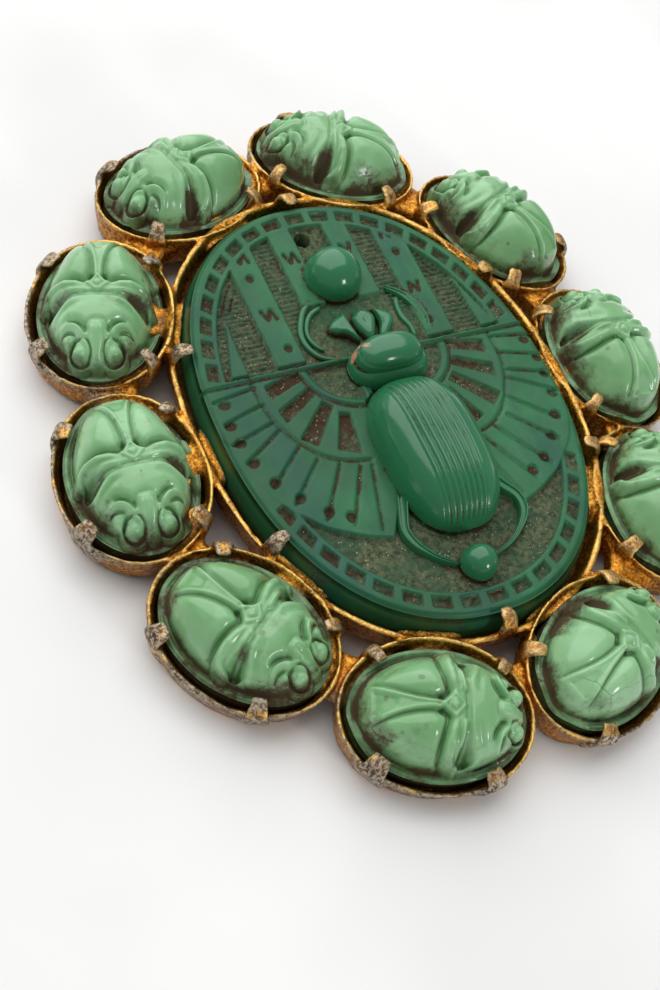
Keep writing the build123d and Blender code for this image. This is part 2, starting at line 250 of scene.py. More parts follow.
def setting_axes(row):
    """Middle of a setting's rim and its directions: to the beetle's head, to the middle and up."""
    x, y, heading, lean = row[1:]
    h, b = math.radians(heading), math.radians(lean)
    ahead = np.array([math.cos(h), math.sin(h), 0.0])
    up = np.array([math.sin(h) * math.sin(b), -math.cos(h) * math.sin(b), math.cos(b)])
    inward = np.cross(up, ahead)
    return np.array([x * SHARE, y * SHARE, SETTING_RIM]) + MIDDLE, ahead, inward, up


# ---------------------------------------------------------------- the small beetles

# Half lengths of the stone, then lines of the moulding as (towards the head, out from the middle line).
STONE_LENGTH = 6.88
STONE_WIDTH = 5.03
LEG = curve([(0.38, 0.85), (0.02, 2.0), (-0.08, 3.0), (0.12, 3.75), (0.72, 4.12)])
LEG_HEIGHT = [3.98, 4.10, 3.90, 3.10, 1.65]
SECOND_LEG = curve([(0.92, 0.9), (0.74, 1.8), (0.76, 2.5), (0.95, 3.2)])
WING_FRONT = curve([(-0.75, 0.42), (-0.36, 1.0), (-0.60, 2.0), (-0.72, 3.1), (-0.45, 4.15)])
SHIELD_REAR = curve([(1.05, 0.0), (1.08, 1.4), (1.16, 2.6), (1.40, 3.5), (1.80, 4.3)])
SHIELD_FOLD = curve([(1.9, 0.9), (2.05, 1.9), (2.45, 2.8), (3.2, 3.4)])
BROW = curve([(4.45, 3.12), (3.95, 2.88), (3.68, 2.30), (3.85, 1.70), (4.30, 1.25), (4.80, 0.92),
              (5.25, 0.70)])
BROW_HOLLOW = curve([(3.20, 2.45), (3.38, 1.65), (3.85, 1.02), (4.35, 0.75)])
LOBE_RING = curve([(4.95, 3.35), (4.38, 3.12), (4.04, 2.50), (4.22, 1.85), (4.65, 1.42), (5.00, 0.98)])
EYE_SIDE = curve([(4.62, 1.72), (5.05, 1.95), (5.40, 2.20), (5.75, 2.45)])
NOSE_ARC = curve([(4.3, 0.95), (3.75, 0.85), (3.42, 0.45), (3.35, 0.0)])


def strap_edge(s):
    """Half width of the strap down the middle of the back, widening towards the tail."""
    return np.interp(s, [-5.9, -5.4, -4.6, -3.6, -2.6, -1.6, -0.6],
                     [1.50, 1.28, 0.92, 0.58, 0.36, 0.25, 0.24])


def beetle_wings(body, s, v, on_body):
    """The wing cases, two swelling halves with a strap between them, and the diamond at the strap's end."""
    wings = ease(0.15, -0.35, s - 0.12 * v)
    body += wings * (0.42 * bell(v - 1.75, 1.25) - 0.20)
    edge = strap_edge(s)
    strap = ease(-0.55, -0.75, s) * ease(-6.05, -5.6, s)
    body -= strap * (0.22 * bell(v - edge - 0.24, 0.19) + 0.16 * bell(v - edge - 0.15, 0.60)) * on_body
    raised = 0.12 * ease(edge + 0.10, edge - 0.05, v) + 0.17 * bell(v - edge + 0.05, 0.15)
    body += strap * raised * on_body
    inner = ease(-3.7, -4.3, s) * ease(edge - 0.30, edge - 0.50, v) * ease(-5.55, -5.35, s)
    body -= 0.20 * inner
    body += 0.12 * bell(s + 5.62, 0.14) * ease(edge + 0.05, edge - 0.1, v)
    d, _ = near(s, v, WING_FRONT)
    body -= 0.30 * wings * ease(1.3, 0.0, d) ** 2 * on_body * ease(0.1, 0.9, v)
    body -= 0.50 * bell(d, 0.24) * on_body * ease(0.1, 0.6, v)

    diamond = np.abs(s - 0.06) / 0.88 + v / 0.96
    body -= 0.08 * bell(diamond - 1.22, 0.14) * ease(0.8, 0.2, s)
    body += (0.18 * ease(1.10, 0.96, diamond) - 0.18 * bell(diamond - 0.60, 0.14)
             + 0.05 * ease(0.45, 0.25, diamond))
    return body - 0.06 * bell(diamond, 0.14)


def beetle_legs(body, s, v, on_body):
    """The hollow between the legs and the shield, then the legs as tubes. Gives the hollow's dirt and painted
    shade too.
    """
    d, t = near(s, v, SHIELD_REAR)
    wedge = bell(d - 0.10, 0.13 + 0.46 * ease(0.35, 0.9, t)) * ease(2.7, 1.6, s)
    body -= (0.24 + 2.0 * ease(0.40, 0.90, t)) * wedge * on_body
    soil_and_shade = 1.25 * wedge * ease(0.40, 0.75, t) * on_body
    d, t = near(s, v, SECOND_LEG)
    body += 0.30 * bell(d, 0.18) * ease(0.0, 0.15, t) * ease(1.0, 0.7, t)
    d, t = near(s, v, LEG)
    top = np.interp(t, np.linspace(0, 1, 5), LEG_HEIGHT)
    tube = top - 0.80 * (d / (0.50 - 0.08 * t)) ** 2.6
    tube = np.where((d < 0.78 - 0.18 * t) & (t > 0.02), tube, -9.0)
    mix = np.clip(0.5 + (tube - body) / 0.18, 0.0, 1.0)
    body = body * (1 - mix) + np.maximum(tube, body - 1.0) * mix + 0.06 * mix * (1 - mix)
    return body, soil_and_shade * (1 - mix)


def beetle_head(body, s, v, on_body):
    """The shield's folds, then brows, nose, lobes and eyes. Gives the distance to the eye's middle too."""
    d, t = near(s, v, SHIELD_FOLD)
    body -= 0.24 * bell(d, 0.28) * np.sin(np.pi * np.clip(t, 0.02, 0.98)) * on_body
    body += 0.14 * bell(s - 2.2, 0.9) * bell(v, 2.0)
    head = ease(2.9, 3.3, s)
    d, t = near(s, v, BROW_HOLLOW)
    body -= 0.60 * bell(d, 0.27) * np.sin(np.pi * np.clip(t, 0.03, 0.97)) ** 0.7
    lobe = np.hypot((s - 4.82) / 0.80, (v - 2.45) / 0.72)
    body += 0.50 * ease(1.15, 0.1, lobe)
    d, t = near(s, v, BROW)
    body += 0.46 * bell(d, 0.22) * np.sin(np.pi * np.clip(t + 0.12, 0.0, 0.95)) ** 0.6
    d, t = near(s, v, LOBE_RING)
    body -= 0.34 * bell(d, 0.14) * on_body * np.sin(np.pi * np.clip(t, 0.02, 0.98)) ** 0.6
    d, t = near(s, v, NOSE_ARC)
    body -= 0.16 * bell(d, 0.16)
    pad = np.hypot((s - 4.15) / 0.66, v / 0.66)
    body += head * 0.22 * ease(1.15, 0.45, pad)
    ribs = bell(v, 0.10) + bell(v - 0.36, 0.10)
    body += 0.12 * ribs * ease(3.95, 4.15, s) * ease(4.75, 4.45, s)
    neck = 0.20 + 0.40 * bell(s - 4.95, 0.45) + 0.22 * bell(s - 6.15, 0.3)
    bridge = np.interp(s, [4.3, 4.7, 5.1, 5.5, 5.9, 6.2, 6.5], [3.55, 3.30, 2.92, 2.48, 1.90, 1.25, 0.2])
    bridge = bridge - 1.6 * np.clip(v - neck + 0.10, 0.0, None) ** 1.5 / 0.30
    body = np.where((s > 4.3) & (s < 6.6) & (v < neck + 0.7), np.maximum(body, bridge), body)
    ball = np.hypot(s - 5.36, v - 1.27)
    chin = (1.70 - 0.65 * (s - 5.2)) * ease(1.26, 0.98, ball)
    body = np.maximum(body, np.where(s > 4.9, chin, 0.0))
    body -= 0.44 * bell(ball - 0.77, 0.11) * ease(4.6, 5.0, s + 0.25 * v) * ease(0.2, 1.0, body)
    d, t = near(s, v, EYE_SIDE)
    body -= 0.40 * bell(d, 0.13) * on_body
    eye = 1.42 + 1.10 * np.sqrt(np.clip(1.0 - (ball / 0.69) ** 2, 0.0, None))
    return np.where(ball < 0.68, np.maximum(body, eye), body), ball


def beetle_height(s, u):
    """Height of a small beetle above its rim, s towards the head and u across, in millimetres.

    The back is a dome over an oval, (1 - r^3.3)^0.52. Ridges are added and grooves taken away as bells of
    the distance to their lines. Legs, bridge of the nose and eyes are rounded tops of which the higher
    surface stays. Gives the height, both oval distances (body and rim) and where dirt gathers and shade is
    painted.
    """
    v = np.abs(u)
    r = np.hypot(s / 6.2, u / 4.25)
    rim = np.hypot(s / STONE_LENGTH, u / STONE_WIDTH)
    ledge = 0.14 + 0.07 * bell(rim - 0.955, 0.03) - 0.26 * bell(r - 1.02, 0.032)
    ledge = ledge - 0.45 * ease(0.965, 1.0, rim) ** 1.5
    body = 0.1 + 3.92 * np.clip(1.0 - r ** 3.3, 0.0, 1.0) ** 0.52
    on_body = ease(1.02, 0.9, r)
    body = beetle_wings(body, s, v, on_body)
    body, soil_and_shade = beetle_legs(body, s, v, on_body)
    body, ball = beetle_head(body, s, v, on_body)
    height = np.maximum(ledge, body)
    clean = ease(0.58, 0.72, ball)
    soil_and_shade = np.maximum(soil_and_shade, 0.95 * bell(r - 1.005, 0.042) * ease(1.3, 0.4, height))
    # darker towards the stone's edge: painted shade with a film of dirt
    soil_and_shade = np.maximum(soil_and_shade, 0.40 * ease(0.74, 1.0, r))
    soil_and_shade = np.maximum(soil_and_shade, 0.95 * bell(ball - 0.80, 0.14) * ease(2.4, 1.6, height) * ease(4.6, 5.0, s))
    return height, r, rim, soil_and_shade * clean


def lay_stone(row, grid):
    """One small beetle: the height over an oval grid, closed below and set in its place.

    Each stone differs by its own slow noise and patches of dirt and painted shade, and the two at the left
    are chipped.
    """
    number = row[0]
    across, along = grid, int(grid * 0.74)
    x, y, quads, ring = oval_sheet(across, along)
    s, u = x * STONE_LENGTH, y * STONE_WIDTH
    height, r, rim, soil_and_shade = beetle_height(s, u)
    place = np.stack([s, u, np.full(len(s), number * 3.7)], -1)
    height = height + 0.04 * cloud(place, 2.6, number) * ease(1.0, 0.9, rim)
    if number in (9, 10):
        gone = ease(0.15, 0.5, cloud(place, 1.6, 40 + number) + 0.5 * ease(2.0, 4.0, u)) * ease(2.5, 3.6, u)
        height = height - 0.7 * gone * ease(0.93, 1.0, r)
    shape = (across, along)
    height = soften(height, shape, 2)
    hollow = soften(height, shape, 14) - height
    narrow = soften(height, shape, 3) - height
    patchy = 0.30 + 0.75 * ease(-0.30, 0.30, cloud(place, 1.7, 80 + number))
    masks = {
        "hollow": np.clip(hollow / 0.16, -1.0, 1.0),
        "crease": np.clip(narrow / 0.05, -1.0, 1.0),
        "ledge": ease(0.96, 1.03, r),
        "soil_and_shade": np.clip(soften(soil_and_shade, shape, 4) * 1.35, 0.0, 1.0) * patchy,
    }
    wall = [(1.0, -0.45), (0.995, -1.0), (0.985, -1.7), (0.96, -2.15), (0.90, -2.28), (0.5, -2.28)]
    points, faces, fan, masks = close_under(s, u, height, quads, ring, wall, masks)
    masks["soil_and_shade"][len(s):] = 0.75
    origin, ahead, inward, up = setting_axes(row)
    world = origin + points[:, :1] * ahead + points[:, 1:2] * inward + points[:, 2:] * up
    return lay_mesh("scarab_%02d" % number, world, faces, fan, masks)


# ---------------------------------------------------------------- the plaque

# Lines of the relief in shares from the middle of the plaque. The wings are drawn on the left and mirrored.
PLAQUE_LENGTH = 20.2 / SHARE
PLAQUE_TOP = BEZEL_RIM + 1.2
SQUARE = 2.2
RELIEF_X = 0.02
# steps in the flat layers, in millimetres: the sunk ground, the cells in it and the depth of the hole
GROUND_DEPTH = 0.50
CELL_DEPTH = 0.45
HOLE_DEPTH = 2.6
HATCH_PITCH = 0.030
WING_TOP = 0.30
WING_BOTTOM = curve([(-1.05, 0.02), (-0.985, -0.10), (-0.95, -0.30), (-0.87, -0.48), (-0.78, -0.58),
                     (-0.70, -0.66), (-0.60, -0.72), (-0.50, -0.77), (-0.38, -0.81)], 5)
WING_INNER = [(-0.25, -0.60), (-0.17, 0.0), (-0.10, 0.05), (-0.10, 0.30), (-1.2, 0.30), (-1.2, 0.0)]
WING_CELLS = [
    [(-0.67, 0.22), (-0.46, 0.28), (-0.455, 0.22), (-0.66, 0.145)],
    [(-0.655, 0.06), (-0.44, 0.16), (-0.425, 0.11), (-0.64, -0.015)],
    [(-0.61, -0.13), (-0.40, 0.06), (-0.36, 0.02), (-0.54, -0.19)],
    [(-0.44, -0.24), (-0.34, -0.03), (-0.29, -0.05), (-0.33, -0.29)],
]
WING_ARC = curve([(-0.735, 0.29), (-0.72, 0.05), (-0.65, -0.12), (-0.55, -0.25), (-0.43, -0.32),
                  (-0.30, -0.345)], 6)
FEATHERS = [
    [(-0.73, 0.23), (-0.98, 0.19)], [(-0.73, 0.12), (-0.97, 0.05)], [(-0.72, 0.0), (-0.98, -0.08)],
    [(-0.70, -0.05), (-0.95, -0.20)], [(-0.64, -0.17), (-0.87, -0.37)], [(-0.58, -0.27), (-0.80, -0.49)],
    [(-0.47, -0.32), (-0.68, -0.62)], [(-0.37, -0.36), (-0.55, -0.68)], [(-0.31, -0.38), (-0.42, -0.75)],
]
DROPS = [(-0.92, 0.165), (-0.94, 0.035), (-0.93, -0.075), (-0.91, -0.205), (-0.85, -0.34), (-0.76, -0.46),
         (-0.65, -0.575), (-0.55, -0.63)]
# legs: the line, half widths and tops in millimetres at start, middle and end, and if the edges are ridged
LEGS = [
    ([(-0.190, 0.684), (-0.235, 0.645), (-0.274, 0.584), (-0.305, 0.515), (-0.311, 0.447), (-0.295, 0.389),
      (-0.257, 0.338), (-0.185, 0.300)], (0.26, 0.26, 0.16), (0.02, -0.10, -0.10), False),
    ([(-0.127, 0.652), (-0.196, 0.622), (-0.244, 0.570), (-0.272, 0.496), (-0.262, 0.430), (-0.225, 0.375)],
     (0.24, 0.22, 0.14), (0.0, -0.14, -0.16), False),
    ([(0.300, 0.700), (0.360, 0.653), (0.398, 0.601), (0.424, 0.544), (0.437, 0.483), (0.437, 0.426),
      (0.410, 0.350)], (0.20, 0.42, 0.20), (-0.16, -0.08, -0.10), True),
    ([(0.335, 0.620), (0.318, 0.560), (0.318, 0.490), (0.337, 0.420), (0.333, 0.350)],
     (0.22, 0.26, 0.18), (-0.10, -0.14, -0.16), False),
    ([(-0.225, -0.60), (-0.262, -0.69), (-0.296, -0.785), (-0.282, -0.862), (-0.243, -0.925),
      (-0.175, -0.995), (-0.095, -1.046)], (0.46, 0.36, 0.08), (0.30, 0.15, 0.0), True),
    ([(0.295, -0.60), (0.345, -0.68), (0.398, -0.755), (0.400, -0.835), (0.352, -0.91), (0.245, -0.995),
      (0.105, -1.052)], (0.46, 0.38, 0.08), (0.30, 0.15, 0.0), True),
]
# outlines of the leaves between the sun and the shield
LEAVES = [
    [(-0.022, 0.592), (-0.105, 0.552), (-0.160, 0.492), (-0.128, 0.452), (-0.06, 0.425), (0.0, 0.365),
     (-0.008, 0.47)],
    [(-0.005, 0.53), (0.045, 0.58), (0.110, 0.572), (0.150, 0.52), (0.125, 0.44), (0.068, 0.355),
     (0.012, 0.44)],
    [(0.145, 0.582), (0.22, 0.55), (0.256, 0.49), (0.205, 0.41), (0.135, 0.345), (0.110, 0.38),
     (0.150, 0.47)],
]
SHIELD_CHIPS = [
    [(-0.122, 0.282), (-0.100, 0.252), (-0.080, 0.226)],
    [(-0.128, 0.262), (-0.141, 0.240), (-0.146, 0.225)],
]
# domes: middle, half sizes, base, top, squareness of the plan, then the powers a and b of (1 - r^a)^b
WING_CASES = (0.050, -0.41, 0.287, 0.465, 0.0, 4.05, 2.7, 3.0, 0.55)
COLLAR = (0.072, 0.190, 0.236, 0.146, 0.0, 1.95, 2.3, 3.4, 0.5)
SHIELD = (0.056, 0.200, 0.203, 0.118, 0.9, 3.20, 2.4, 2.9, 0.5)
SUN = (RELIEF_X, 0.82, 0.165, 0.165, -0.1, 2.75, 2.0, 2.3, 0.5)
BALL = (0.0, -1.07, 0.100, 0.098, -0.1, 1.75, 2.0, 2.3, 0.5)
SPIKE = [(-0.720, 0.315), (-0.822, 0.315), (-0.705, 0.69)]
# upright bands as (inner edge, outer edge, start), smooth and hatched, and their marks as (x, y, is a zigzag)
SMOOTH_BANDS = [(0.10, 0.245, 0.665), (0.375, 0.55, 0.32)]
HATCHED_BANDS = [(0.255, 0.365, 0.55), (0.56, 0.80, 0.32)]
MARKS = [(0.46, 0.92, False), (0.455, 0.66, True), (0.44, 0.43, False), (0.17, 1.0, True),
         (0.455, 1.06, True)]
ZIGZAG = np.array([(-0.035, -0.03), (-0.02, 0.03), (0.015, -0.03), (0.035, 0.03)])
# runs of sunk cells round the rim: first and last place, and how many
RIM_CELLS = [((0.918, 0.42), (-0.888, 0.374), 19), ((-0.862, -0.538), (0.83, -0.655), 16)]
RIM_CELL_INSET = 0.085


def edge_distance(x, y):
    """How far in from the plaque's edge each point is: 1 - r over the size of r's slope."""
    n = SQUARE
    ax, ay = np.abs(x) + 1e-6, np.abs(y) / PLAQUE_LENGTH + 1e-6
    r = (ax ** n + ay ** n) ** (1.0 / n)
    slope = np.hypot(r ** (1 - n) * ax ** (n - 1), r ** (1 - n) * ay ** (n - 1) / PLAQUE_LENGTH)
    return (1.0 - r) / np.maximum(slope, 0.3)


def rim_cell_mask(x, y, depth_in):
    """1 within the small sunk cells round the rim, spaced evenly along the band by arc length."""
    c, s = superellipse(np.linspace(-math.pi, math.pi, 1441), SQUARE)
    bx, by = (1.0 - RIM_CELL_INSET) * c, (PLAQUE_LENGTH - RIM_CELL_INSET) * s
    length = np.concatenate([[0.0], np.cumsum(np.hypot(np.diff(bx), np.diff(by)))])
    whole = length[-1]
    turn = np.arctan2(by, bx)
    at = np.interp(np.arctan2(y, x), turn, length)
    mask = np.zeros(x.shape)
    for first, last, count in RIM_CELLS:
        a = np.interp(math.atan2(first[1], first[0]), turn, length)
        b = np.interp(math.atan2(last[1], last[0]), turn, length)
        b = b if b > a else b + whole
        for place in np.linspace(a, b, count):
            along = np.abs((at - place + whole / 2) % whole - whole / 2)
            box = np.maximum(along / 0.050, np.abs(depth_in - RIM_CELL_INSET) / 0.030)
            mask = np.maximum(mask, ease(1.12, 0.88, box))
    return mask


class Relief:
    """The plaque's flat relief as it is worked: its height and masks over points x and y in shares."""

    def __init__(self, x, y):
        self.y = y
        self.off = x - RELIEF_X
        self.out = np.abs(self.off)
        self.depth_in = edge_distance(x, y)
        self.band = ease(0.152, 0.140, self.depth_in)
        self.height = -GROUND_DEPTH * (1 - self.band)
        self.ground = 1 - self.band
        self.hatch = np.zeros(x.shape)
        self.engraved = np.zeros(x.shape)

    def cut(self, amount, depth, dirty=1.0):
        """Lowers the surface where amount is 1 and marks the place as engraved, with its share of dirt."""
        self.height = self.height - depth * amount
        self.engraved = np.maximum(self.engraved, dirty * amount)

    def upright(self, inner, outer, start):
        """1 between the inner and outer edges of an upright band, from its start up."""
        return (ease(inner - 0.005, inner + 0.005, self.out) * ease(outer + 0.005, outer - 0.005, self.out)
                * ease(start - 0.006, start + 0.006, self.y))


def carve_bands(relief):
    """The upright bands above the wings, with the spike, two lines along the rim, drops and zigzags."""
    y, off, out = relief.y, relief.off, relief.out
    upper = ease(WING_TOP, 0.312, y) * (1 - relief.band)
    for edges in SMOOTH_BANDS:
        on = relief.upright(*edges) * upper
        relief.height += GROUND_DEPTH * on
        relief.ground *= 1 - on
    relief.ground *= 1 - 0.45 * bell(np.hypot(off / 0.24, (y - 0.60) / 0.17), 1.0)
    spike = ease(0.006, -0.006, inside(-out, y, np.array(SPIKE)))
    relief.height += 0.48 * spike
    relief.ground *= 1 - spike
    wave = np.cos(2 * np.pi * y / HATCH_PITCH)
    for edges in HATCHED_BANDS:
        on = relief.upright(*edges) * upper * (1 - spike)
        relief.height += on * 0.09 * wave
        # the hatching's ridge tops, where a painted highlight goes
        relief.hatch = np.maximum(relief.hatch, on * ease(0.2, 0.9, wave))
    for inset in (0.175, 0.215):
        line = bell(relief.depth_in - inset, 0.010)
        relief.cut(line * upper * ease(0.72, 0.76, y) * ease(0.56, 0.60, out), 0.18)
    for mx, my, zigzag in MARKS:
        if zigzag:
            d, _ = near(out, y, ZIGZAG + (mx, my))
            relief.cut(ease(0.016, 0.007, d) * upper, 0.22)
        else:
            drop = np.hypot(out - mx, (y - my) / 1.2) - 0.024 + 0.25 * np.clip(y - my, 0.0, None)
            relief.cut(ease(0.006, -0.006, drop) * upper, 0.24)


def carve_wings(relief):
    """The wings, over the band at the sides: quarter discs, cells, feathers and their drops.

    Gives where the wings are and where their cells are.
    """
    y, out, side = relief.y, relief.out, -relief.out
    wing = ease(0.006, -0.006, inside(side, y, np.vstack([WING_BOTTOM, WING_INNER])))
    relief.height = relief.height * (1 - wing) + wing * 0.06
    relief.ground *= 1 - wing
    relief.height += 0.10 * wing * ease(0.272, 0.278, y)
    relief.cut(wing * bell(y - 0.268, 0.010), 0.18, 0.7)
    below = ease(0.272, 0.262, y)
    quarter = np.hypot(side + 0.15, y - 0.285)
    disc = ease(0.262, 0.250, quarter) * below * ease(0.14, 0.16, out)
    relief.height -= 0.42 * disc * wing
    relief.height += 0.10 * wing * bell(quarter - 0.285, 0.012) * below
    relief.cut(wing * bell(quarter - 0.312, 0.009) * below * ease(-0.10, -0.02, y), 0.16)
    cells = np.zeros(y.shape)
    for cell in WING_CELLS:
        cells = np.maximum(cells, ease(0.008, -0.006, inside(side, y, np.array(cell))))
    relief.height -= CELL_DEPTH * cells * wing
    relief.ground = np.maximum(relief.ground, np.maximum(disc, cells) * wing)
    d, _ = near(side, y, WING_ARC)
    relief.cut(bell(d, 0.011) * wing, 0.20, 0.70)
    for feather in FEATHERS:
        d, _ = near(side, y, np.array(feather))
        relief.cut(bell(d, 0.0095) * wing, 0.22, 0.66)
    for dx, dy in DROPS:
        away = math.atan2(dy - 0.15, dx + 0.2)
        a = (side - dx) * math.cos(away) + (y - dy) * math.sin(away)
        b = -(side - dx) * math.sin(away) + (y - dy) * math.cos(away)
        drop = np.hypot(a / 1.4, b) - 0.027 + 0.3 * np.clip(-a, 0.0, None)
        relief.cut(ease(0.005, -0.005, drop) * wing, 0.30)
    return wing, cells


def foot_distance(x, y):
    """How far each point is from the foot of the nearest raised piece."""
    foot = np.full(x.shape, 9.0)
    for cx, cy, ax, ay, *_ in (WING_CASES, COLLAR, SUN, BALL):
        p, q = (x - cx) / ax, (y - cy) / ay
        r = (np.abs(p) ** 2.3 + np.abs(q) ** 2.3) ** (1 / 2.3)
        foot = np.minimum(foot, np.abs(r - 1.0) * min(ax, ay))
    for line, widths, _, _ in LEGS:
        d, _ = near(x, y, curve(line, 4))
        foot = np.minimum(foot, np.abs(d - widths[1] / SHARE))
    for outline in LEAVES:
        foot = np.minimum(foot, np.abs(inside(x, y, np.array(outline))))
    return foot


def plaque_height(x, y):
    """Height of the plaque's flat relief above its top, in millimetres, for x and y in shares.

    Flat layers are steps of signed distances and engraved lines are bells of the distance to them. Gives
    the height and masks: the rough ground, the hatching's ridges for a painted highlight, engraved places,
    dirt in the sunk cells and dirt with painted shade at the feet of raised pieces, and the hole.
    """
    relief = Relief(x, y)
    carve_bands(relief)
    wing, cells = carve_wings(relief)

    # sunk cells of the rim, the small rounding of the edge and the hole
    cell = rim_cell_mask(x, y, relief.depth_in) * (1 - wing)
    hole = ease(0.048, 0.040, np.hypot(x + 0.018, y - 1.13))
    height = relief.height - CELL_DEPTH * cell - HOLE_DEPTH * hole
    height -= 0.30 * ease(0.035, 0.0, relief.depth_in) ** 2
    ground = np.maximum(relief.ground, cell) * (1 - hole)
    # painted shade with dirt at the foot of each raised piece, and dirt in the sunk cells
    feet = 0.62 * bell(foot_distance(x, y), 0.018)
    soil_and_shade = np.maximum(feet, np.maximum(0.62 * cell, 0.85 * cells * wing))
    return height, ground, relief.hatch, relief.engraved, soil_and_shade, hole


def lay_plaque(across, along):
    """The plaque: its flat relief over a squared oval grid, roughened by noise, with a sloping side."""
    x, y, quads, ring = oval_sheet(across, along)
    k = oval_reach(np.arctan2(y, x), SQUARE)
    px, py = x * k, y * k * PLAQUE_LENGTH
    height, ground, hatch, engraved, soil_and_shade, hole = plaque_height(px, py)
    place = np.stack([px * SHARE, py * SHARE, height], -1)
    height = height + ground * (0.060 * cloud(place, 0.42, 3) + 0.045 * cloud(place, 0.25, 4))
    height = height + 0.025 * cloud(place, 3.0, 5) + 0.012 * cloud(place, 0.9, 6)
    shape = (across, along)
    hollow = soften(height, shape, 16) - height
    narrow = soften(height, shape, 3) - height
    masks = {
        "ground": ground,
        "hollow": np.clip(hollow / 0.18, -1.0, 1.0),
        "crease": np.clip(narrow / 0.05, -1.0, 1.0),
        "hatch": hatch,
        "engraved": np.clip(engraved, 0.0, 1.0),
        "soil_and_shade": soil_and_shade,
        "hole": hole,
        "dome": np.zeros(len(x)),
    }
    top = PLAQUE_TOP
    wall = [(1.012, top - 0.75), (1.018, top - 1.3), (1.024, top - 1.9), (1.028, top - 2.6),
            (1.0, top - 3.05), (0.5, top - 3.08)]
    points, faces, fan, masks = close_under(px * SHARE, py * SHARE, height + top, quads, ring, wall, masks)
    return lay_mesh("moulded_plaque", points + MIDDLE, faces, fan, masks)


def swelling(x, y, quads, ring, shape, height, engraved):
    """Closes a domed sheet about its own middle into a solid, with the masks that the glass reads."""
    flat = np.zeros(len(x))
    masks = {
        "ground": flat,
        "hollow": np.clip((soften(height, shape, 10) - height) / 0.14, -1.0, 1.0),
        "crease": np.clip((soften(height, shape, 3) - height) / 0.05, -1.0, 1.0),
        "hatch": flat,
        "engraved": engraved,
        # painted shade with dirt at the foot of each piece
        "soil_and_shade": ease(0.25, -0.1, height),
        "dome": np.ones(len(x)),
    }
    return close_under(x, y, height, quads, ring, [(1.0, -0.4), (1.0, -0.7)], masks)


def domed_sheet(across, along, plan):
    """Oval sheet with its rows drawn to the rim, r = sin(pi t / 2), its outline squared by the power plan."""
    x, y, quads, ring = oval_sheet(across, along)
    t = np.hypot(x, y)
    r = np.sin(0.5 * math.pi * np.clip(t, 0.0, 1.0))
    angle = np.arctan2(y, x)
    out = r * oval_reach(angle, plan)
    return out * np.cos(angle), out * np.sin(angle), r, quads, ring


def domes():
    """The plaque's domes as closed solids standing in its ground: points, quads, fan and masks of each.

    A dome is base + (top - base) (1 - r^a)^b, and the wing cases carry ribs |sin| of the way across.
    """
    parts = []
    for row, across, along in ((WING_CASES, 190, 210), (COLLAR, 70, 70), (SHIELD, 90, 90), (SUN, 76, 76),
                               (BALL, 44, 44)):
        cx, cy, ax, ay, base, top, plan, a, b = row
        p, q, r, quads, ring = domed_sheet(across, along, plan)
        height = base + (top - base) * np.clip(1.0 - r ** a, 0.0, 1.0) ** b
        engraved = np.zeros(len(p))
        if row is WING_CASES:
            line = (p + 0.105) / (1.0 - 0.16 * q * q)
            wave = np.abs(np.sin(math.pi * line / 0.1235))
            on = ease(0.500, 0.478, np.abs(line)) * ease(0.985, 0.95, np.abs(q)) * ease(1.0, 0.97, r)
            height += on * 0.28 * (wave ** 0.8 - 0.75)
            engraved = 0.72 * on * ease(0.42, 0.10, wave)
            flank = bell(r - 0.90, 0.022) * ease(0.55, 0.65, np.abs(line))
            height -= 0.03 * flank
        if row is SHIELD:
            height -= 0.08 * bell(r - 0.90, 0.02)
            engraved = 0.9 * ease(0.975, 0.995, r)
        x, y = p * ax * SHARE, q * ay * SHARE
        points, faces, fan, masks = swelling(x, y, quads, ring, (across, along), height, engraved)
        parts.append((points + np.array([cx * SHARE, cy * SHARE, 0.0]), faces, fan, masks))
    return parts


def leaves():
    """The leaves as closed solids: an oval sheet stretched to each outline, swollen by (1 - r^4)^0.6."""
    parts = []
    for outline in LEAVES:
        line = curve(outline + outline[:1], 8) * SHARE
        middle = line.mean(0)
        turn = np.arctan2(line[:, 1] - middle[1], line[:, 0] - middle[0])
        order = np.argsort(turn)
        x, y, quads, ring = oval_sheet(44, 44)
        r, angle = np.hypot(x, y), np.arctan2(y, x)
        reach = np.interp(angle, turn[order], np.hypot(*(line - middle).T)[order], period=2 * math.pi)
        r = np.sin(0.5 * math.pi * np.clip(r, 0.0, 1.0))
        reach = 0.92 * reach
        x, y = r * reach * np.cos(angle), r * reach * np.sin(angle)
        height = -0.2 + 0.72 * np.clip(1.0 - r ** 4.0, 0.0, 1.0) ** 0.6 - 0.08 * bell(r, 0.35)
        points, faces, fan, masks = swelling(x, y, quads, ring, (44, 44), height, np.zeros(len(x)))
        parts.append((points + np.array([*middle, 0.0]), faces, fan, masks))
    return parts


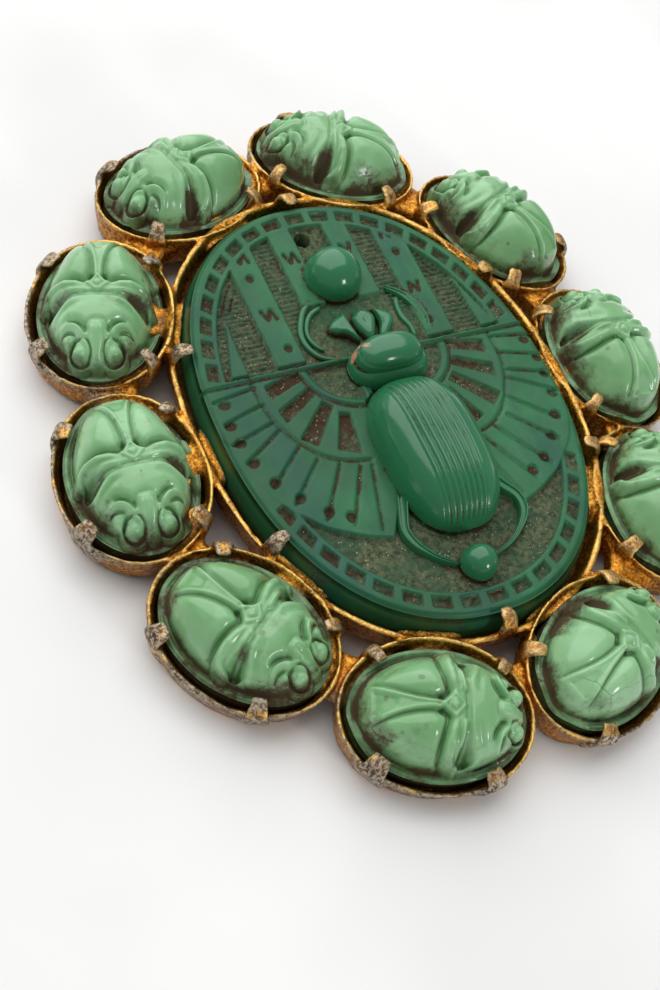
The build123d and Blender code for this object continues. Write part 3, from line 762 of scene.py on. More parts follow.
def legs():
    """The legs as closed bars with blunt ends, the broad ones with a thin bar along each edge."""
    parts = []
    for line, widths, tops, ridged in LEGS:
        path = curve(line, 6) * SHARE
        t = np.linspace(0.0, 1.0, len(path))
        half = np.interp(t, [0, 0.5, 1], widths)
        top = np.interp(t, [0, 0.5, 1], tops)
        run = np.gradient(path, axis=0)
        run /= np.linalg.norm(run, axis=1)[:, None]
        side = np.stack([-run[:, 1], run[:, 0], np.zeros(len(path))], -1)
        blunt = 0.25 + 0.75 * np.sqrt(np.clip(np.minimum(t, 1 - t) / 0.06, 0.0, 1.0))
        strips = [(0.0, half, top)]
        if ridged:
            thin = np.minimum(0.11, 0.45 * half)
            strips += [(way * (half - thin), thin, top + 0.13) for way in (1.0, -1.0)]
        for offset, wide, high in strips:
            deep = (high + 0.75) / 2
            aside = np.multiply(np.ones(len(path)), offset)[:, None] * side
            middle = np.column_stack([path, high - deep]) + aside
            points, faces = bar(middle, side, np.array([0.0, 0.0, 1.0]), wide * blunt, deep, 2.6, 14)
            flat = np.zeros(len(points))
            masks = {name: flat for name in ("ground", "hollow", "crease", "hatch", "engraved")}
            masks["soil_and_shade"] = ease(-0.25, -0.45, points[:, 2])
            masks["dome"] = np.full(len(points), 0.6)
            parts.append((points, faces, np.zeros((0, 3), int), masks))
    return parts


def lay_relief():
    """The raised pieces joined into one object and set on the plaque."""
    points, quads, fans, masks, count = [], [], [], {}, 0
    for part, faces, fan, values in domes() + leaves() + legs():
        points.append(part)
        quads.append(faces + count)
        fans.append(fan + count)
        count += len(part)
        for name, value in values.items():
            masks.setdefault(name, []).append(value)
    points = np.vstack(points)
    masks = {name: np.concatenate(value) for name, value in masks.items()}
    d = np.minimum(*(near(points[:, 0] / SHARE, points[:, 1] / SHARE, line)[0] for line in SHIELD_CHIPS))
    masks["chip"] = ease(0.013, 0.008, d) * ease(0.6, 0.9, points[:, 2])
    points = points + 0.02 * cloud(points, 2.4, 7)[:, None] * np.array([0.0, 0.0, 1.0])
    points = points + MIDDLE + np.array([0.0, 0.0, PLAQUE_TOP])
    return lay_mesh("plaque_relief", points, np.vstack(quads), np.vstack(fans), masks)


# ---------------------------------------------------------------- the gilt frame

def turned_oval(profile, half_x, half_y, square, count, origin, ahead, inward, up, wobble=0.0, seed=0):
    """Closed surface from a profile carried round an oval: rows of (share, offset, height).

    A point is at (share half_x + offset) cos t, (share half_y + offset) sin t, and outer ones waver by
    seeded noise. The first and last rows are poles.
    """
    c, s = superellipse(np.arange(count) * 2 * math.pi / count, square)
    nx, ny = c / half_x, s / half_y
    size = np.hypot(nx, ny)
    nx, ny = nx / size, ny / size
    rows = np.asarray(profile, float)
    wave = cloud(np.stack([c * 3.0 + seed, s * 3.0, np.full(count, seed * 1.3)], -1), 1.0, 60 + seed) * wobble
    local_x = rows[:, :1] * half_x * c + (rows[:, 1:2] + (rows[:, 1:2] > 0.2) * wave) * nx
    local_y = rows[:, :1] * half_y * s + (rows[:, 1:2] + (rows[:, 1:2] > 0.2) * wave) * ny
    local_z = np.repeat(rows[:, 2:], count, 1) + (rows[:, 2:] > -0.6) * wave * 0.8
    points = origin + local_x[..., None] * ahead + local_y[..., None] * inward + local_z[..., None] * up
    return points.reshape(-1, 3), hoops(len(rows), count)


def bar(path, side, up, widths, heights, power=4.0, count=28):
    """Closed bar: superellipse sections |a|^p + |b|^p = 1 carried along a path, with rounded ends."""
    path = np.asarray(path, float)
    c, s = superellipse(np.arange(count) * 2 * math.pi / count, power)
    side = np.broadcast_to(side, path.shape)
    up = np.broadcast_to(up, path.shape)
    sections = [path[k] + widths[k] * c[:, None] * side[k] + heights[k] * s[:, None] * up[k]
                for k in range(len(path))]
    first = path[0] + (sections[0] - path[0]) * 0.001
    last = path[-1] + (sections[-1] - path[-1]) * 0.001
    return np.concatenate([first, *sections, last]), hoops(len(path) + 2, count)


def prong(base, ahead, inward, up, half_x, half_y, square, degrees, rows, wide):
    """A prong: a flat tapering bar up the outside of the wall and bent in over the stone.

    rows are (outward, up, half width, half thickness) from the root to the tip.
    """
    t = math.radians(degrees)
    c, s = superellipse(t, square)
    n = np.array([math.cos(t) / half_x, math.sin(t) / half_y])
    n = n / np.hypot(*n)
    outward = ahead * n[0] + inward * n[1]
    side = np.cross(up, outward)
    at = base + ahead * half_x * c + inward * half_y * s
    line = curve(rows, 4)
    path = at + line[:, :1] * outward + line[:, 1:2] * up
    ahead_line = np.gradient(path, axis=0)
    ahead_line /= np.linalg.norm(ahead_line, axis=1)[:, None]
    thick = np.cross(ahead_line, side)
    return bar(path, side, thick, line[:, 2] * wide, line[:, 3], 3.2, 20)


# walls of a small cup and of the bezel: (share, offset, height from the rim), up the outside and down within
CUP = [(0, 0, -2.9), (0.6, 0, -2.9), (1, 0.02, -2.88), (1, 0.18, -2.75), (1, 0.27, -2.3), (1, 0.42, -1.4),
       (1, 0.52, -0.6), (1, 0.61, -0.1), (1, 0.65, 0.10), (1, 0.60, 0.24), (1, 0.47, 0.25), (1, 0.34, 0.10),
       (1, 0.20, -0.25), (1, 0.08, -0.65), (1, 0.0, -1.0), (1, -0.04, -1.6), (1, -0.10, -2.1),
       (1, -0.3, -2.3), (0.6, 0, -2.3), (0, 0, -2.3)]
BEZEL = [(0, 0, -2.5), (0.6, 0, -2.5), (1, 0.28, -2.5), (1, 0.46, -2.38), (1, 0.60, -1.8), (1, 0.80, -0.8),
         (1, 0.95, -0.2), (1, 1.02, 0.02), (1, 0.96, 0.16), (1, 0.78, 0.20), (1, 0.58, 0.15),
         (1, 0.45, -0.02), (1, 0.36, -0.5), (1, 0.20, -1.2), (1, 0.0, -1.6), (1, -0.1, -1.8),
         (0.6, 0, -1.9), (0, 0, -1.9)]
SMALL_PRONG = [(0.20, -2.1, 1.00, 0.30), (0.50, -1.0, 0.90, 0.30), (0.70, -0.1, 0.78, 0.28),
               (0.66, 0.45, 0.68, 0.26), (0.36, 0.86, 0.62, 0.24), (-0.10, 1.08, 0.56, 0.22),
               (-0.55, 1.16, 0.46, 0.18)]
LARGE_PRONG = [(0.42, -1.8, 1.10, 0.30), (0.58, -0.8, 0.90, 0.30), (0.68, 0.2, 0.78, 0.28),
               (0.62, 0.85, 0.72, 0.27), (0.42, 1.28, 0.68, 0.26), (0.08, 1.52, 0.64, 0.24),
               (-0.35, 1.60, 0.56, 0.20), (-0.75, 1.54, 0.42, 0.16)]


def frame_parts():
    """All the closed surfaces of the gilt frame: bezel, cups, prongs, bridges to the middle and webs."""
    parts = []
    X, Y, Z = np.eye(3)
    bezel_oval = (BEZEL_HALF_WIDTH, BEZEL_HALF_LENGTH, SQUARE)
    cup_oval = (CUP_HALF_LENGTH, CUP_HALF_WIDTH, 2.0)
    middle = MIDDLE + np.array([0, 0, BEZEL_RIM])
    parts.append(turned_oval(BEZEL, *bezel_oval, 240, middle, X, Y, Z, 0.05, 1))
    for degrees in PLAQUE_PRONGS:
        parts.append(prong(middle, X, Y, Z, *bezel_oval, degrees, LARGE_PRONG, 1.0))
    for row in SETTINGS:
        base, ahead, inward, up = setting_axes(row)
        parts.append(turned_oval(CUP, *cup_oval, 120, base, ahead, inward, up, 0.035, row[0] + 2))
        for k, degrees in enumerate(SETTING_PRONGS):
            wide = SETTING_PRONG_WIDTHS[k] + 0.12 * math.sin(row[0] * 2.3 + k * 1.9)
            parts.append(prong(base, ahead, inward, up, *cup_oval, degrees, SMALL_PRONG, wide))
        # the bridge, flared at both ends, to the nearest place on the bezel's wall
        c, s = superellipse(np.radians(np.arange(360.0)), SQUARE)
        wall_x = (BEZEL_HALF_WIDTH + 0.75) * c + MIDDLE[0]
        wall_y = (BEZEL_HALF_LENGTH + 0.75) * s + MIDDLE[1]
        k = np.argmin(np.hypot(wall_x - base[0], wall_y - base[1]))
        way = np.array([wall_x[k] - base[0], wall_y[k] - base[1], 0.0])
        way /= np.linalg.norm(way)
        start = np.array([wall_x[k], wall_y[k], BEZEL_RIM]) - way * 0.3
        along = np.linspace(-1.8, 1.4, 9)
        path = start + along[:, None] * way + np.array([0, 0, -1.0])
        widths = 1.45 + 1.5 * np.abs((along + 0.2) / 1.7) ** 2.0
        parts.append(bar(path, np.cross(Z, way), Z, widths, np.full(9, 0.85), 4.0))
    # the webs, flared at both ends, between neighbours
    for k in range(len(SETTINGS)):
        a, _, _, up_a = setting_axes(SETTINGS[k])
        b, _, _, up_b = setting_axes(SETTINGS[(k + 1) % len(SETTINGS)])
        way = (b - a) / np.linalg.norm(b - a)
        up = up_a + up_b
        up = up - way * (up @ way)
        up /= np.linalg.norm(up)
        along = np.linspace(-3.0, 3.0, 13)
        path = (a + b) / 2 + along[:, None] * way - up * 1.02
        widths = 1.85 + 1.9 * np.abs(along / 3.0) ** 2.2
        parts.append(bar(path, np.cross(up, way), up, widths, np.full(13, 1.0), 4.0))
    return joined(parts)


def edge_bend(co, normal, ends):
    """How far each point stands out of its neighbours' plane: the mean of the normal times the way to each,
    negative on ridges and positive in hollows, then twice averaged with the neighbours' values."""
    bend, weight = np.zeros(len(co)), np.zeros(len(co))
    step = co[ends[:, 1]] - co[ends[:, 0]]
    size = np.linalg.norm(step, axis=1) + 1e-6
    for this, sign in ((0, 1.0), (1, -1.0)):
        np.add.at(bend, ends[:, this], sign * np.einsum("ij,ij->i", step, normal[ends[:, this]]) / size)
        np.add.at(weight, ends[:, this], 1.0)
    weight = np.maximum(weight, 1)
    bend /= weight
    for _ in range(2):
        mean = np.zeros(len(co))
        for this in (0, 1):
            np.add.at(mean, ends[:, this], bend[ends[:, 1 - this]])
        bend = 0.5 * bend + 0.5 * mean / weight
    return bend


def frame_masks(co):
    """Where each point is on its setting: 1 on worn outer walls, in the pockets that get painted shade and on
    prongs, else 0.
    """
    outer, pocket, finger = np.zeros(len(co)), np.zeros(len(co)), np.zeros(len(co))
    for row in SETTINGS:
        base, ahead, inward, up = setting_axes(row)
        rel = co - base
        s, u, z = rel @ ahead, rel @ inward, rel @ up
        r = np.hypot(s / (CUP_HALF_LENGTH + 0.2), u / CUP_HALF_WIDTH)
        near_cup = ease(1.30, 1.18, r)
        outward = -u / CUP_HALF_WIDTH
        outer = np.maximum(outer, near_cup * ease(1.03, 1.08, r) * ease(-0.35, 0.35, outward))
        pocket = np.maximum(pocket, ease(1.04, 1.0, r) * ease(0.15, -0.5, z))
        finger = np.maximum(finger, near_cup * ease(0.30, 0.65, z) * ease(0.72, 0.85, r))
    x, y, z = (co - MIDDLE - np.array([0, 0, BEZEL_RIM])).T
    r = ((np.abs(x) / BEZEL_HALF_WIDTH) ** SQUARE + (np.abs(y) / BEZEL_HALF_LENGTH) ** SQUARE) ** (1 / SQUARE)
    pocket = np.maximum(pocket, ease(1.015, 0.995, r) * ease(0.1, -0.4, z))
    pocket = np.maximum(pocket, 0.45 * ease(1.10, 1.07, r) * ease(-1.6, -0.8, z))
    finger = np.maximum(finger, ease(1.12, 1.08, r) * ease(0.5, 0.9, z))
    return {"outer": outer, "pocket": pocket, "finger": finger}


def lay_frame(voxel, keep):
    """The gilt frame: surfaces fused on a fine grid, smoothed as a casting is, thinned, then dented a little.

    The dents move points along their normals by seeded noise, least on the ridges.
    """
    points, quads = frame_parts()
    # made a thousand times too large, because the grid's cell has a least size
    rough = lay_mesh("rough_frame", points / MM, quads)
    fuse = rough.modifiers.new("Fuse", "REMESH")
    fuse.mode = "VOXEL"
    fuse.voxel_size = voxel
    fuse.use_smooth_shade = True
    soft = rough.modifiers.new("Soften", "SMOOTH")
    soft.factor = 0.5
    soft.iterations = 4
    thin = rough.modifiers.new("Thin", "DECIMATE")
    thin.ratio = keep
    graph = bpy.context.evaluated_depsgraph_get()
    baked = bpy.data.meshes.new_from_object(rough.evaluated_get(graph), depsgraph=graph)
    bpy.data.objects.remove(rough)
    count = len(baked.vertices)
    co = np.empty(count * 3, np.float32)
    normal = np.empty(count * 3, np.float32)
    baked.vertices.foreach_get("co", co)
    baked.vertices.foreach_get("normal", normal)
    co, normal = co.reshape(-1, 3).astype(float), normal.reshape(-1, 3)
    ends = np.empty(len(baked.edges) * 2, np.int32)
    baked.edges.foreach_get("vertices", ends)
    bend = edge_bend(co, normal, ends.reshape(-1, 2))
    masks = frame_masks(co)
    # ridges and hollows: the painted highlight on ridges and the tarnished hollows
    masks["bend"] = np.clip(bend * 4.0, -1, 1)
    # how far each point faces up, for the painted shade on steep and downward faces
    masks["lift"] = normal[:, 2]
    dent = 0.045 * cloud(co, 1.3, 21) + 0.038 * cloud(co, 0.55, 22) + 0.05 * cloud(co, 3.1, 23)
    dent = dent - 0.10 * ease(0.35, 0.75, cloud(co, 0.8, 24))
    dent = dent * (1.0 - 0.65 * np.clip(-bend * 3.0, 0.0, 1.0))
    co = co + normal * dent[:, None] * (co[:, 2:3] > 0.2)
    co[:, 2] = np.maximum(co[:, 2], 0.0)
    baked.vertices.foreach_set("co", (co * MM).astype(np.float32).ravel())
    baked.update()
    baked.name = "gilt_frame"
    for name, values in masks.items():
        layer = baked.attributes.new(name, "FLOAT", "POINT")
        layer.data.foreach_set("value", np.asarray(values, np.float32))
    baked.polygons.foreach_set("use_smooth", np.ones(len(baked.polygons), bool))
    made = bpy.data.objects.new("gilt_frame", baked)
    bpy.context.collection.objects.link(made)
    return made


def lay_pin():
    """The pin: a domed bar with a rolled hinge, a hooked catch and a tapering wire, all plain bars.

    The domed bar ends in arcs: half width 1.2 sqrt(1 - ((|x| - 10.8) / 1.21)^2) past 10.8 mm.
    """
    X, Y, Z = np.eye(3)
    top = 1.9
    y = 7.0
    hinge, catch = -10.08, 10.08
    along = np.concatenate([[-12, -11.9, -11.6, -11.0], np.linspace(-10.5, 10.5, 21), [11.0, 11.6, 11.9, 12]])
    width = 1.2 * np.sqrt(np.clip(1 - (np.clip(np.abs(along) - 10.8, 0, None) / 1.21) ** 2, 0.01, 1))
    plate = np.stack([along, np.full(len(along), y), np.full(len(along), top - 0.25)], -1)
    parts = [bar(plate, Y, Z, width, np.full(len(along), 0.24), 3.0)]
    # the hinge's three rolls: height, places along y, half widths and half heights
    for height, steps, widths, heights in (
            (0.80, (-0.85, -0.8, -0.28, -0.26), (0.5, 0.62, 0.62, 0.5), (0.5, 0.6, 0.6, 0.5)),
            (0.80, (0.26, 0.28, 0.8, 0.85), (0.5, 0.62, 0.62, 0.5), (0.5, 0.6, 0.6, 0.5)),
            (0.78, (-0.22, -0.2, 0.2, 0.22), (0.4, 0.5, 0.5, 0.4), (0.4, 0.5, 0.5, 0.4))):
        parts.append(bar([(hinge, y + step, height) for step in steps], X, Z, widths, heights, 2.0))
    for offset in (-0.55, 0.55):
        leaf = [(hinge, y + offset, 0.8), (hinge, y + offset, 1.5)]
        parts.append(bar(leaf, X, Y, [0.6, 0.85], [0.24, 0.28], 4.0))
    turn = ((0.55, 1.6), (0.75, 1.0), (0.55, 0.42), (0.0, 0.22), (-0.55, 0.42), (-0.72, 0.85))
    hook = curve([(catch, y + step, height) for step, height in turn], 6)
    run = np.gradient(hook, axis=0)
    run /= np.linalg.norm(run, axis=1)[:, None]
    parts.append(bar(hook, X, np.cross(run, X), np.full(len(hook), 0.8), np.full(len(hook), 0.16), 4.0))
    share = np.linspace(0, 1, 40)
    bow = 0.75 + 0.08 * np.sin(share * math.pi)
    wire = np.stack([np.linspace(-10.0, 11.5, 40), np.full(40, y), bow], -1)
    thick = np.interp(share, [0, 0.7, 1], [0.36, 0.34, 0.08])
    parts.append(bar(wire, Y, Z, thick, thick, 2.0))
    points, quads = joined(parts)
    return lay_mesh("pin_and_catch", points + MIDDLE, quads)


# ---------------------------------------------------------------- shaders

class Net:
    """Short hand for placing and joining the nodes of one tree."""

    def __init__(self, tree):
        self.tree = tree

    def feed(self, node, sockets):
        """Joins each named input of a node to a socket, or sets it to a value."""
        for key, value in sockets.items():
            if isinstance(value, bpy.types.NodeSocket):
                self.tree.links.new(value, node.inputs[key])
            else:
                node.inputs[key].default_value = value

    def add(self, kind, sockets=None, **settings):
        """A new node with its settings and its inputs."""
        node = self.tree.nodes.new(kind)
        for key, value in settings.items():
            setattr(node, key, value)
        self.feed(node, sockets or {})
        return node

    def masks(self, *names):
        """The values of the mesh's own masks."""
        return [self.add("ShaderNodeAttribute", attribute_name=name, attribute_type="GEOMETRY").outputs["Fac"]
                for name in names]

    def math(self, operation, a, b, clamp=False):
        """One sum on two values."""
        return self.add("ShaderNodeMath", {0: a, 1: b}, operation=operation, use_clamp=clamp).outputs[0]

    def times(self, a, b):
        """a times b."""
        return self.math("MULTIPLY", a, b)

    def plus(self, a, b):
        """a plus b."""
        return self.math("ADD", a, b)

    def most(self, a, b):
        """The larger of a and b."""
        return self.math("MAXIMUM", a, b)

    def span(self, x, low, high, to_low=0.0, to_high=1.0):
        """Smooth step of x from low to high, as a value from to_low to to_high."""
        sockets = {"Value": x, "From Min": low, "From Max": high, "To Min": to_low, "To Max": to_high}
        return self.add("ShaderNodeMapRange", sockets, interpolation_type="SMOOTHSTEP").outputs["Result"]

    def mix(self, factor, a, b):
        """Colour a at factor 0, colour b at factor 1."""
        return self.add("ShaderNodeMix", {0: factor, 6: a, 7: b}, data_type="RGBA").outputs[2]

    def lay(self, tone, paint, mask, share):
        """Paint laid over a tone where the mask is, this share of it."""
        return self.mix(self.times(mask, share), tone, paint)

    def noise(self, vector, scale, detail=3.0, rough=0.5):
        """Noise from 0 to 1, its scale in cells to a metre."""
        sockets = {"Vector": vector, "Scale": scale, "Detail": detail, "Roughness": rough}
        return self.add("ShaderNodeTexNoise", sockets).outputs["Fac"]

    def place(self, tree, sockets):
        """The mask of a node group, used with these values."""
        return self.add("ShaderNodeGroup", sockets, node_tree=tree).outputs[0]

    def bump(self, shader, steps):
        """Chain of bumps, each a height, a strength and a depth in metres, into the shader's normal."""
        normal = {}
        for height, strength, depth in steps:
            sockets = {"Height": height, "Strength": strength, "Distance": depth}
            normal = {"Normal": self.add("ShaderNodeBump", {**sockets, **normal}).outputs[0]}
        self.feed(shader, normal)


def colour(red, green, blue):
    """Linear colour of an sRGB one, given as 0 to 255."""
    def linear(c):
        c = c / 255.0
        return c / 12.92 if c <= 0.04045 else ((c + 0.055) / 1.055) ** 2.4
    return (linear(red), linear(green), linear(blue), 1.0)


def group(name, **values):
    """New node group that puts out a mask: its net, its input sockets and its output node."""
    tree = bpy.data.node_groups.new(name, "ShaderNodeTree")
    tree.interface.new_socket(name="Vector", in_out="INPUT", socket_type="NodeSocketVector")
    for label, value in values.items():
        socket = tree.interface.new_socket(name=label, in_out="INPUT", socket_type="NodeSocketFloat")
        socket.default_value = value
    tree.interface.new_socket(name="Mask", in_out="OUTPUT", socket_type="NodeSocketFloat")
    net = Net(tree)
    return net, net.add("NodeGroupInput").outputs, net.add("NodeGroupOutput")


def grime_and_shade_group():
    """Mask packed in hollows, for dirt and for painted shade: the hollow value plus fine and wide noise,
    stepped about a threshold.
    """
    net, given, result = group("Packed grime", Hollow=0.0, Threshold=0.5, Softness=0.3, Scale=1500.0)
    speckle = net.math("SUBTRACT", net.noise(given["Vector"], given["Scale"], 4.0, 0.65), 0.5)
    wide = net.math("SUBTRACT", net.noise(given["Vector"], 260.0, 2.0), 0.5)
    depth = net.plus(net.plus(given["Hollow"], net.times(speckle, 1.4)), net.times(wide, 1.3))
    low = net.math("SUBTRACT", given["Threshold"], given["Softness"])
    high = net.plus(given["Threshold"], given["Softness"])
    net.feed(result, {"Mask": net.span(depth, low, high)})
    return net.tree


def crack_group():
    """Hair cracks: the thin borders of large wavy cells, kept only where a wide noise is high."""
    net, given, result = group("Hair cracks", Scale=160.0, Width=0.012, Amount=0.5)
    bent = net.add("ShaderNodeTexNoise", {"Vector": given["Vector"], "Scale": 420.0, "Detail": 3.0})
    offset = net.add("ShaderNodeVectorMath", {0: bent.outputs["Color"], "Scale": 0.0022}, operation="SCALE")
    moved = net.add("ShaderNodeVectorMath", {0: given["Vector"], 1: offset.outputs[0]}, operation="ADD")
    cells = net.add("ShaderNodeTexVoronoi", {"Vector": moved.outputs[0], "Scale": given["Scale"]},
                    feature="DISTANCE_TO_EDGE")
    line = net.span(cells.outputs["Distance"], given["Width"], 0.0)
    low, high = (net.math("SUBTRACT", level, given["Amount"]) for level in (1.0, 1.08))
    keep = net.span(net.noise(given["Vector"], 95.0, 1.0), low, high)
    net.feed(result, {"Mask": net.times(line, keep)})
    return net.tree


def pit_group():
    """Small scattered pits and specks: the middles of cells, their number and size set by the amount."""
    net, given, result = group("Pits", Scale=1200.0, Amount=0.3)
    cells = net.add("ShaderNodeTexVoronoi", {"Vector": given["Vector"], "Scale": given["Scale"]})
    chance = net.add("ShaderNodeSeparateColor", {0: cells.outputs["Color"]}).outputs[0]
    size = net.times(net.span(chance, net.math("SUBTRACT", 1.0, given["Amount"]), 1.0), 0.42)
    spot = net.span(cells.outputs["Distance"], size, net.times(size, 0.4))
    net.feed(result, {"Mask": net.times(spot, net.math("GREATER_THAN", size, 0.02))})
    return net.tree


def new_material(name):
    """A new material's net, its shader and the place in the object's own coordinates."""
    material = bpy.data.materials.new(name)
    material.use_nodes = True
    material.node_tree.nodes.clear()
    net = Net(material.node_tree)
    shader = net.add("ShaderNodeBsdfPrincipled")
    net.add("ShaderNodeOutputMaterial", {"Surface": shader.outputs[0]})
    return net, shader, net.add("ShaderNodeTexCoord").outputs["Object"]


def scarab_glass(look, groups):
    """Pale jade glass: painted highlight on raised lines, painted shade and brown dirt in hollows, an olive
    film of dirt and painted shade towards the edge, olive dirt on the ledge and a few hair cracks.
    """
    net, shader, where = new_material("jade_glass")
    grime_and_shade, cracks, pits = groups
    hollow, crease, ledge, soil_and_shade = net.masks("hollow", "crease", "ledge", "soil_and_shade")
    broad = net.span(net.noise(where, 130.0, 3.0, 0.6), 0.35, 0.68)
    tone = net.mix(broad, colour(*look.stone_dark), colour(*look.stone_light))
    # painted highlight: lighter jade on the raised lines
    tone = net.mix(net.span(hollow, 0.0, -0.7, 0.0, 0.45), tone, colour(*look.stone_ridge_highlight))
    # painted shade: deeper jade in the hollows
    tone = net.mix(net.span(hollow, 0.10, 0.75, 0.0, 0.80), tone, colour(*look.stone_hollow_shade))
    dusty = net.span(net.noise(where, 420.0, 4.0, 0.7), 0.32, 0.62, 0.30, 0.90)
    tone = net.lay(tone, colour(78, 108, 66), ledge, dusty)
    crack = net.place(cracks, {"Vector": where, "Scale": 150.0, "Width": 0.008, "Amount": 0.34})
    tone = net.lay(tone, colour(78, 98, 46), crack, 0.55)
    speck = net.place(pits, {"Vector": where, "Scale": 1150.0, "Amount": 0.07})
    tone = net.lay(tone, colour(84, 96, 42), speck, 0.55)
    packed = {"Vector": where, "Hollow": net.plus(soil_and_shade, net.times(net.span(crease, 0.35, 1.0), 0.30))}
    dirt = net.place(grime_and_shade, {**packed, "Threshold": 0.61, "Softness": 0.26, "Scale": 2200.0})
    # an olive film of dirt with painted shade, in the hollows and towards the stone's edge
    olive_film_and_shade = net.place(grime_and_shade, {**packed, "Threshold": 0.40, "Softness": 0.32, "Scale": 900.0})
    tone = net.lay(tone, colour(74, 88, 50), olive_film_and_shade, 0.60)
    tone = net.lay(tone, colour(70, 48, 32), dirt, 0.88)
    rough = net.span(net.noise(where, 600.0, 4.0), 0.3, 0.7, 0.15, 0.25)
    rough = net.plus(net.plus(rough, net.times(dirt, 0.50)), net.times(ledge, 0.18))
    net.feed(shader, {"Base Color": tone, "Roughness": rough, "Specular IOR Level": 0.26, "IOR": 1.52,
                      "Coat Weight": net.span(dirt, 0.0, 1.0, 0.55, 0.0), "Coat Roughness": 0.17,
                      "Subsurface Weight": 0.12, "Subsurface Radius": (0.6, 1.0, 0.6),
                      "Subsurface Scale": 0.0008})
    net.bump(shader, [(net.noise(where, 300.0, 2.0), 0.10, 0.00010),
                      (net.noise(where, 2600.0, 4.0, 0.6), 0.10, 0.00003),
                      (net.plus(dirt, net.times(crack, -0.6)), 0.5, 0.00005)])


def plaque_glass(look, groups):
    """Deep green glass: glossy domes, duller blue-marbled flats, brown lines and pitted dark recesses;
    painted highlight on the hatching, brown dirt with painted shade at the feet, painted shade in the hole.
    """
    net, shader, where = new_material("moulded_green_glass")
    grime_and_shade, _, pits = groups
    ground, hollow, crease, hatch, dome = net.masks("ground", "hollow", "crease", "hatch", "dome")
    engraved, soil_and_shade, chip, hole = net.masks("engraved", "soil_and_shade", "chip", "hole")
    grain = net.noise(where, 2300.0, 4.0, 0.7)
    broad = net.span(net.noise(where, 90.0, 2.0), 0.35, 0.65)
    tone = net.mix(broad, colour(*look.plaque_dark), colour(*look.plaque_light))
    streak = net.add("ShaderNodeMapping", {"Vector": where, "Rotation": (0.0, 0.0, 0.5),
                                           "Scale": (1.0, 0.35, 1.0)})
    marble = net.span(net.noise(streak.outputs[0], 190.0, 4.0, 0.62), 0.44, 0.68)
    tone = net.lay(tone, colour(*look.plaque_blue), marble, net.span(dome, 0.0, 1.0, 0.56, 0.10))
    tone = net.lay(tone, colour(*look.plaque_dome), dome, 0.65)
    veil = net.span(net.noise(where, 650.0, 5.0, 0.7), 0.36, 0.66, 0.0, 0.34)
    tone = net.lay(tone, colour(42, 74, 54), veil, net.span(dome, 0.0, 1.0, 1.0, 0.0))

    # dust, greenish in places and pitted, on the sunk ground, and a painted highlight as light lines on the
    # hatching's ridges
    dots = net.place(pits, {"Vector": where, "Scale": 4200.0, "Amount": 0.72})
    dust = net.mix(net.span(grain, 0.34, 0.62), colour(50, 58, 40), colour(98, 104, 76))
    greened = net.span(net.noise(where, 300.0, 4.0, 0.6), 0.42, 0.60, 0.0, 0.65)
    dust = net.mix(greened, dust, colour(46, 80, 58))
    dust = net.lay(dust, colour(30, 26, 18), dots, 0.70)
    tone = net.lay(tone, dust, ground, 0.92)
    tone = net.lay(tone, colour(62, 98, 76), hatch, net.span(grain, 0.35, 0.6, 0.15, 0.70))

    # brown dirt in the lines, with specks of bronze, then the chips, and painted shade as near-black in the
    # hole
    deep = net.most(net.times(hollow, 0.6), net.times(crease, 0.5))
    deep = net.most(net.most(deep, net.times(engraved, 0.95)), net.times(soil_and_shade, 0.80))
    dirt = net.place(grime_and_shade, {"Vector": where, "Hollow": deep, "Threshold": 0.55, "Softness": 0.20,
                             "Scale": 1700.0})
    tone = net.lay(tone, colour(66, 42, 27), dirt, 0.88)
    bronze = net.place(pits, {"Vector": where, "Scale": 5200.0, "Amount": 0.56})
    paler = net.span(net.noise(where, 700.0, 2.0), 0.42, 0.60)
    warm = net.mix(paler, colour(124, 76, 46), colour(196, 178, 140))
    tone = net.lay(tone, warm, bronze, net.most(net.times(ground, 0.8), net.times(dirt, 0.7)))
    tone = net.lay(tone, colour(214, 146, 118), chip, net.span(grain, 0.38, 0.52))
    tone = net.lay(tone, colour(12, 14, 10), hole, 0.97)

    matt = net.most(ground, dirt)
    rough = net.span(net.noise(where, 500.0, 3.0), 0.3, 0.7, 0.36, 0.54)
    rough = net.plus(net.plus(rough, net.times(dome, -0.24)), net.times(matt, 0.35))
    gloss = net.times(net.span(dome, 0.0, 1.0, 0.08, 0.65), net.span(matt, 0.0, 1.0, 1.0, 0.0))
    net.feed(shader, {"Base Color": tone, "Roughness": rough, "Specular IOR Level": 0.26, "IOR": 1.5,
                      "Coat Weight": gloss, "Coat Roughness": 0.14})
    net.bump(shader, [(net.times(grain, ground), 0.8, 0.00012),
                      (net.times(dots, ground), -0.7, 0.00010),
                      (net.noise(where, 1500.0, 3.0), 0.10, 0.00003)])


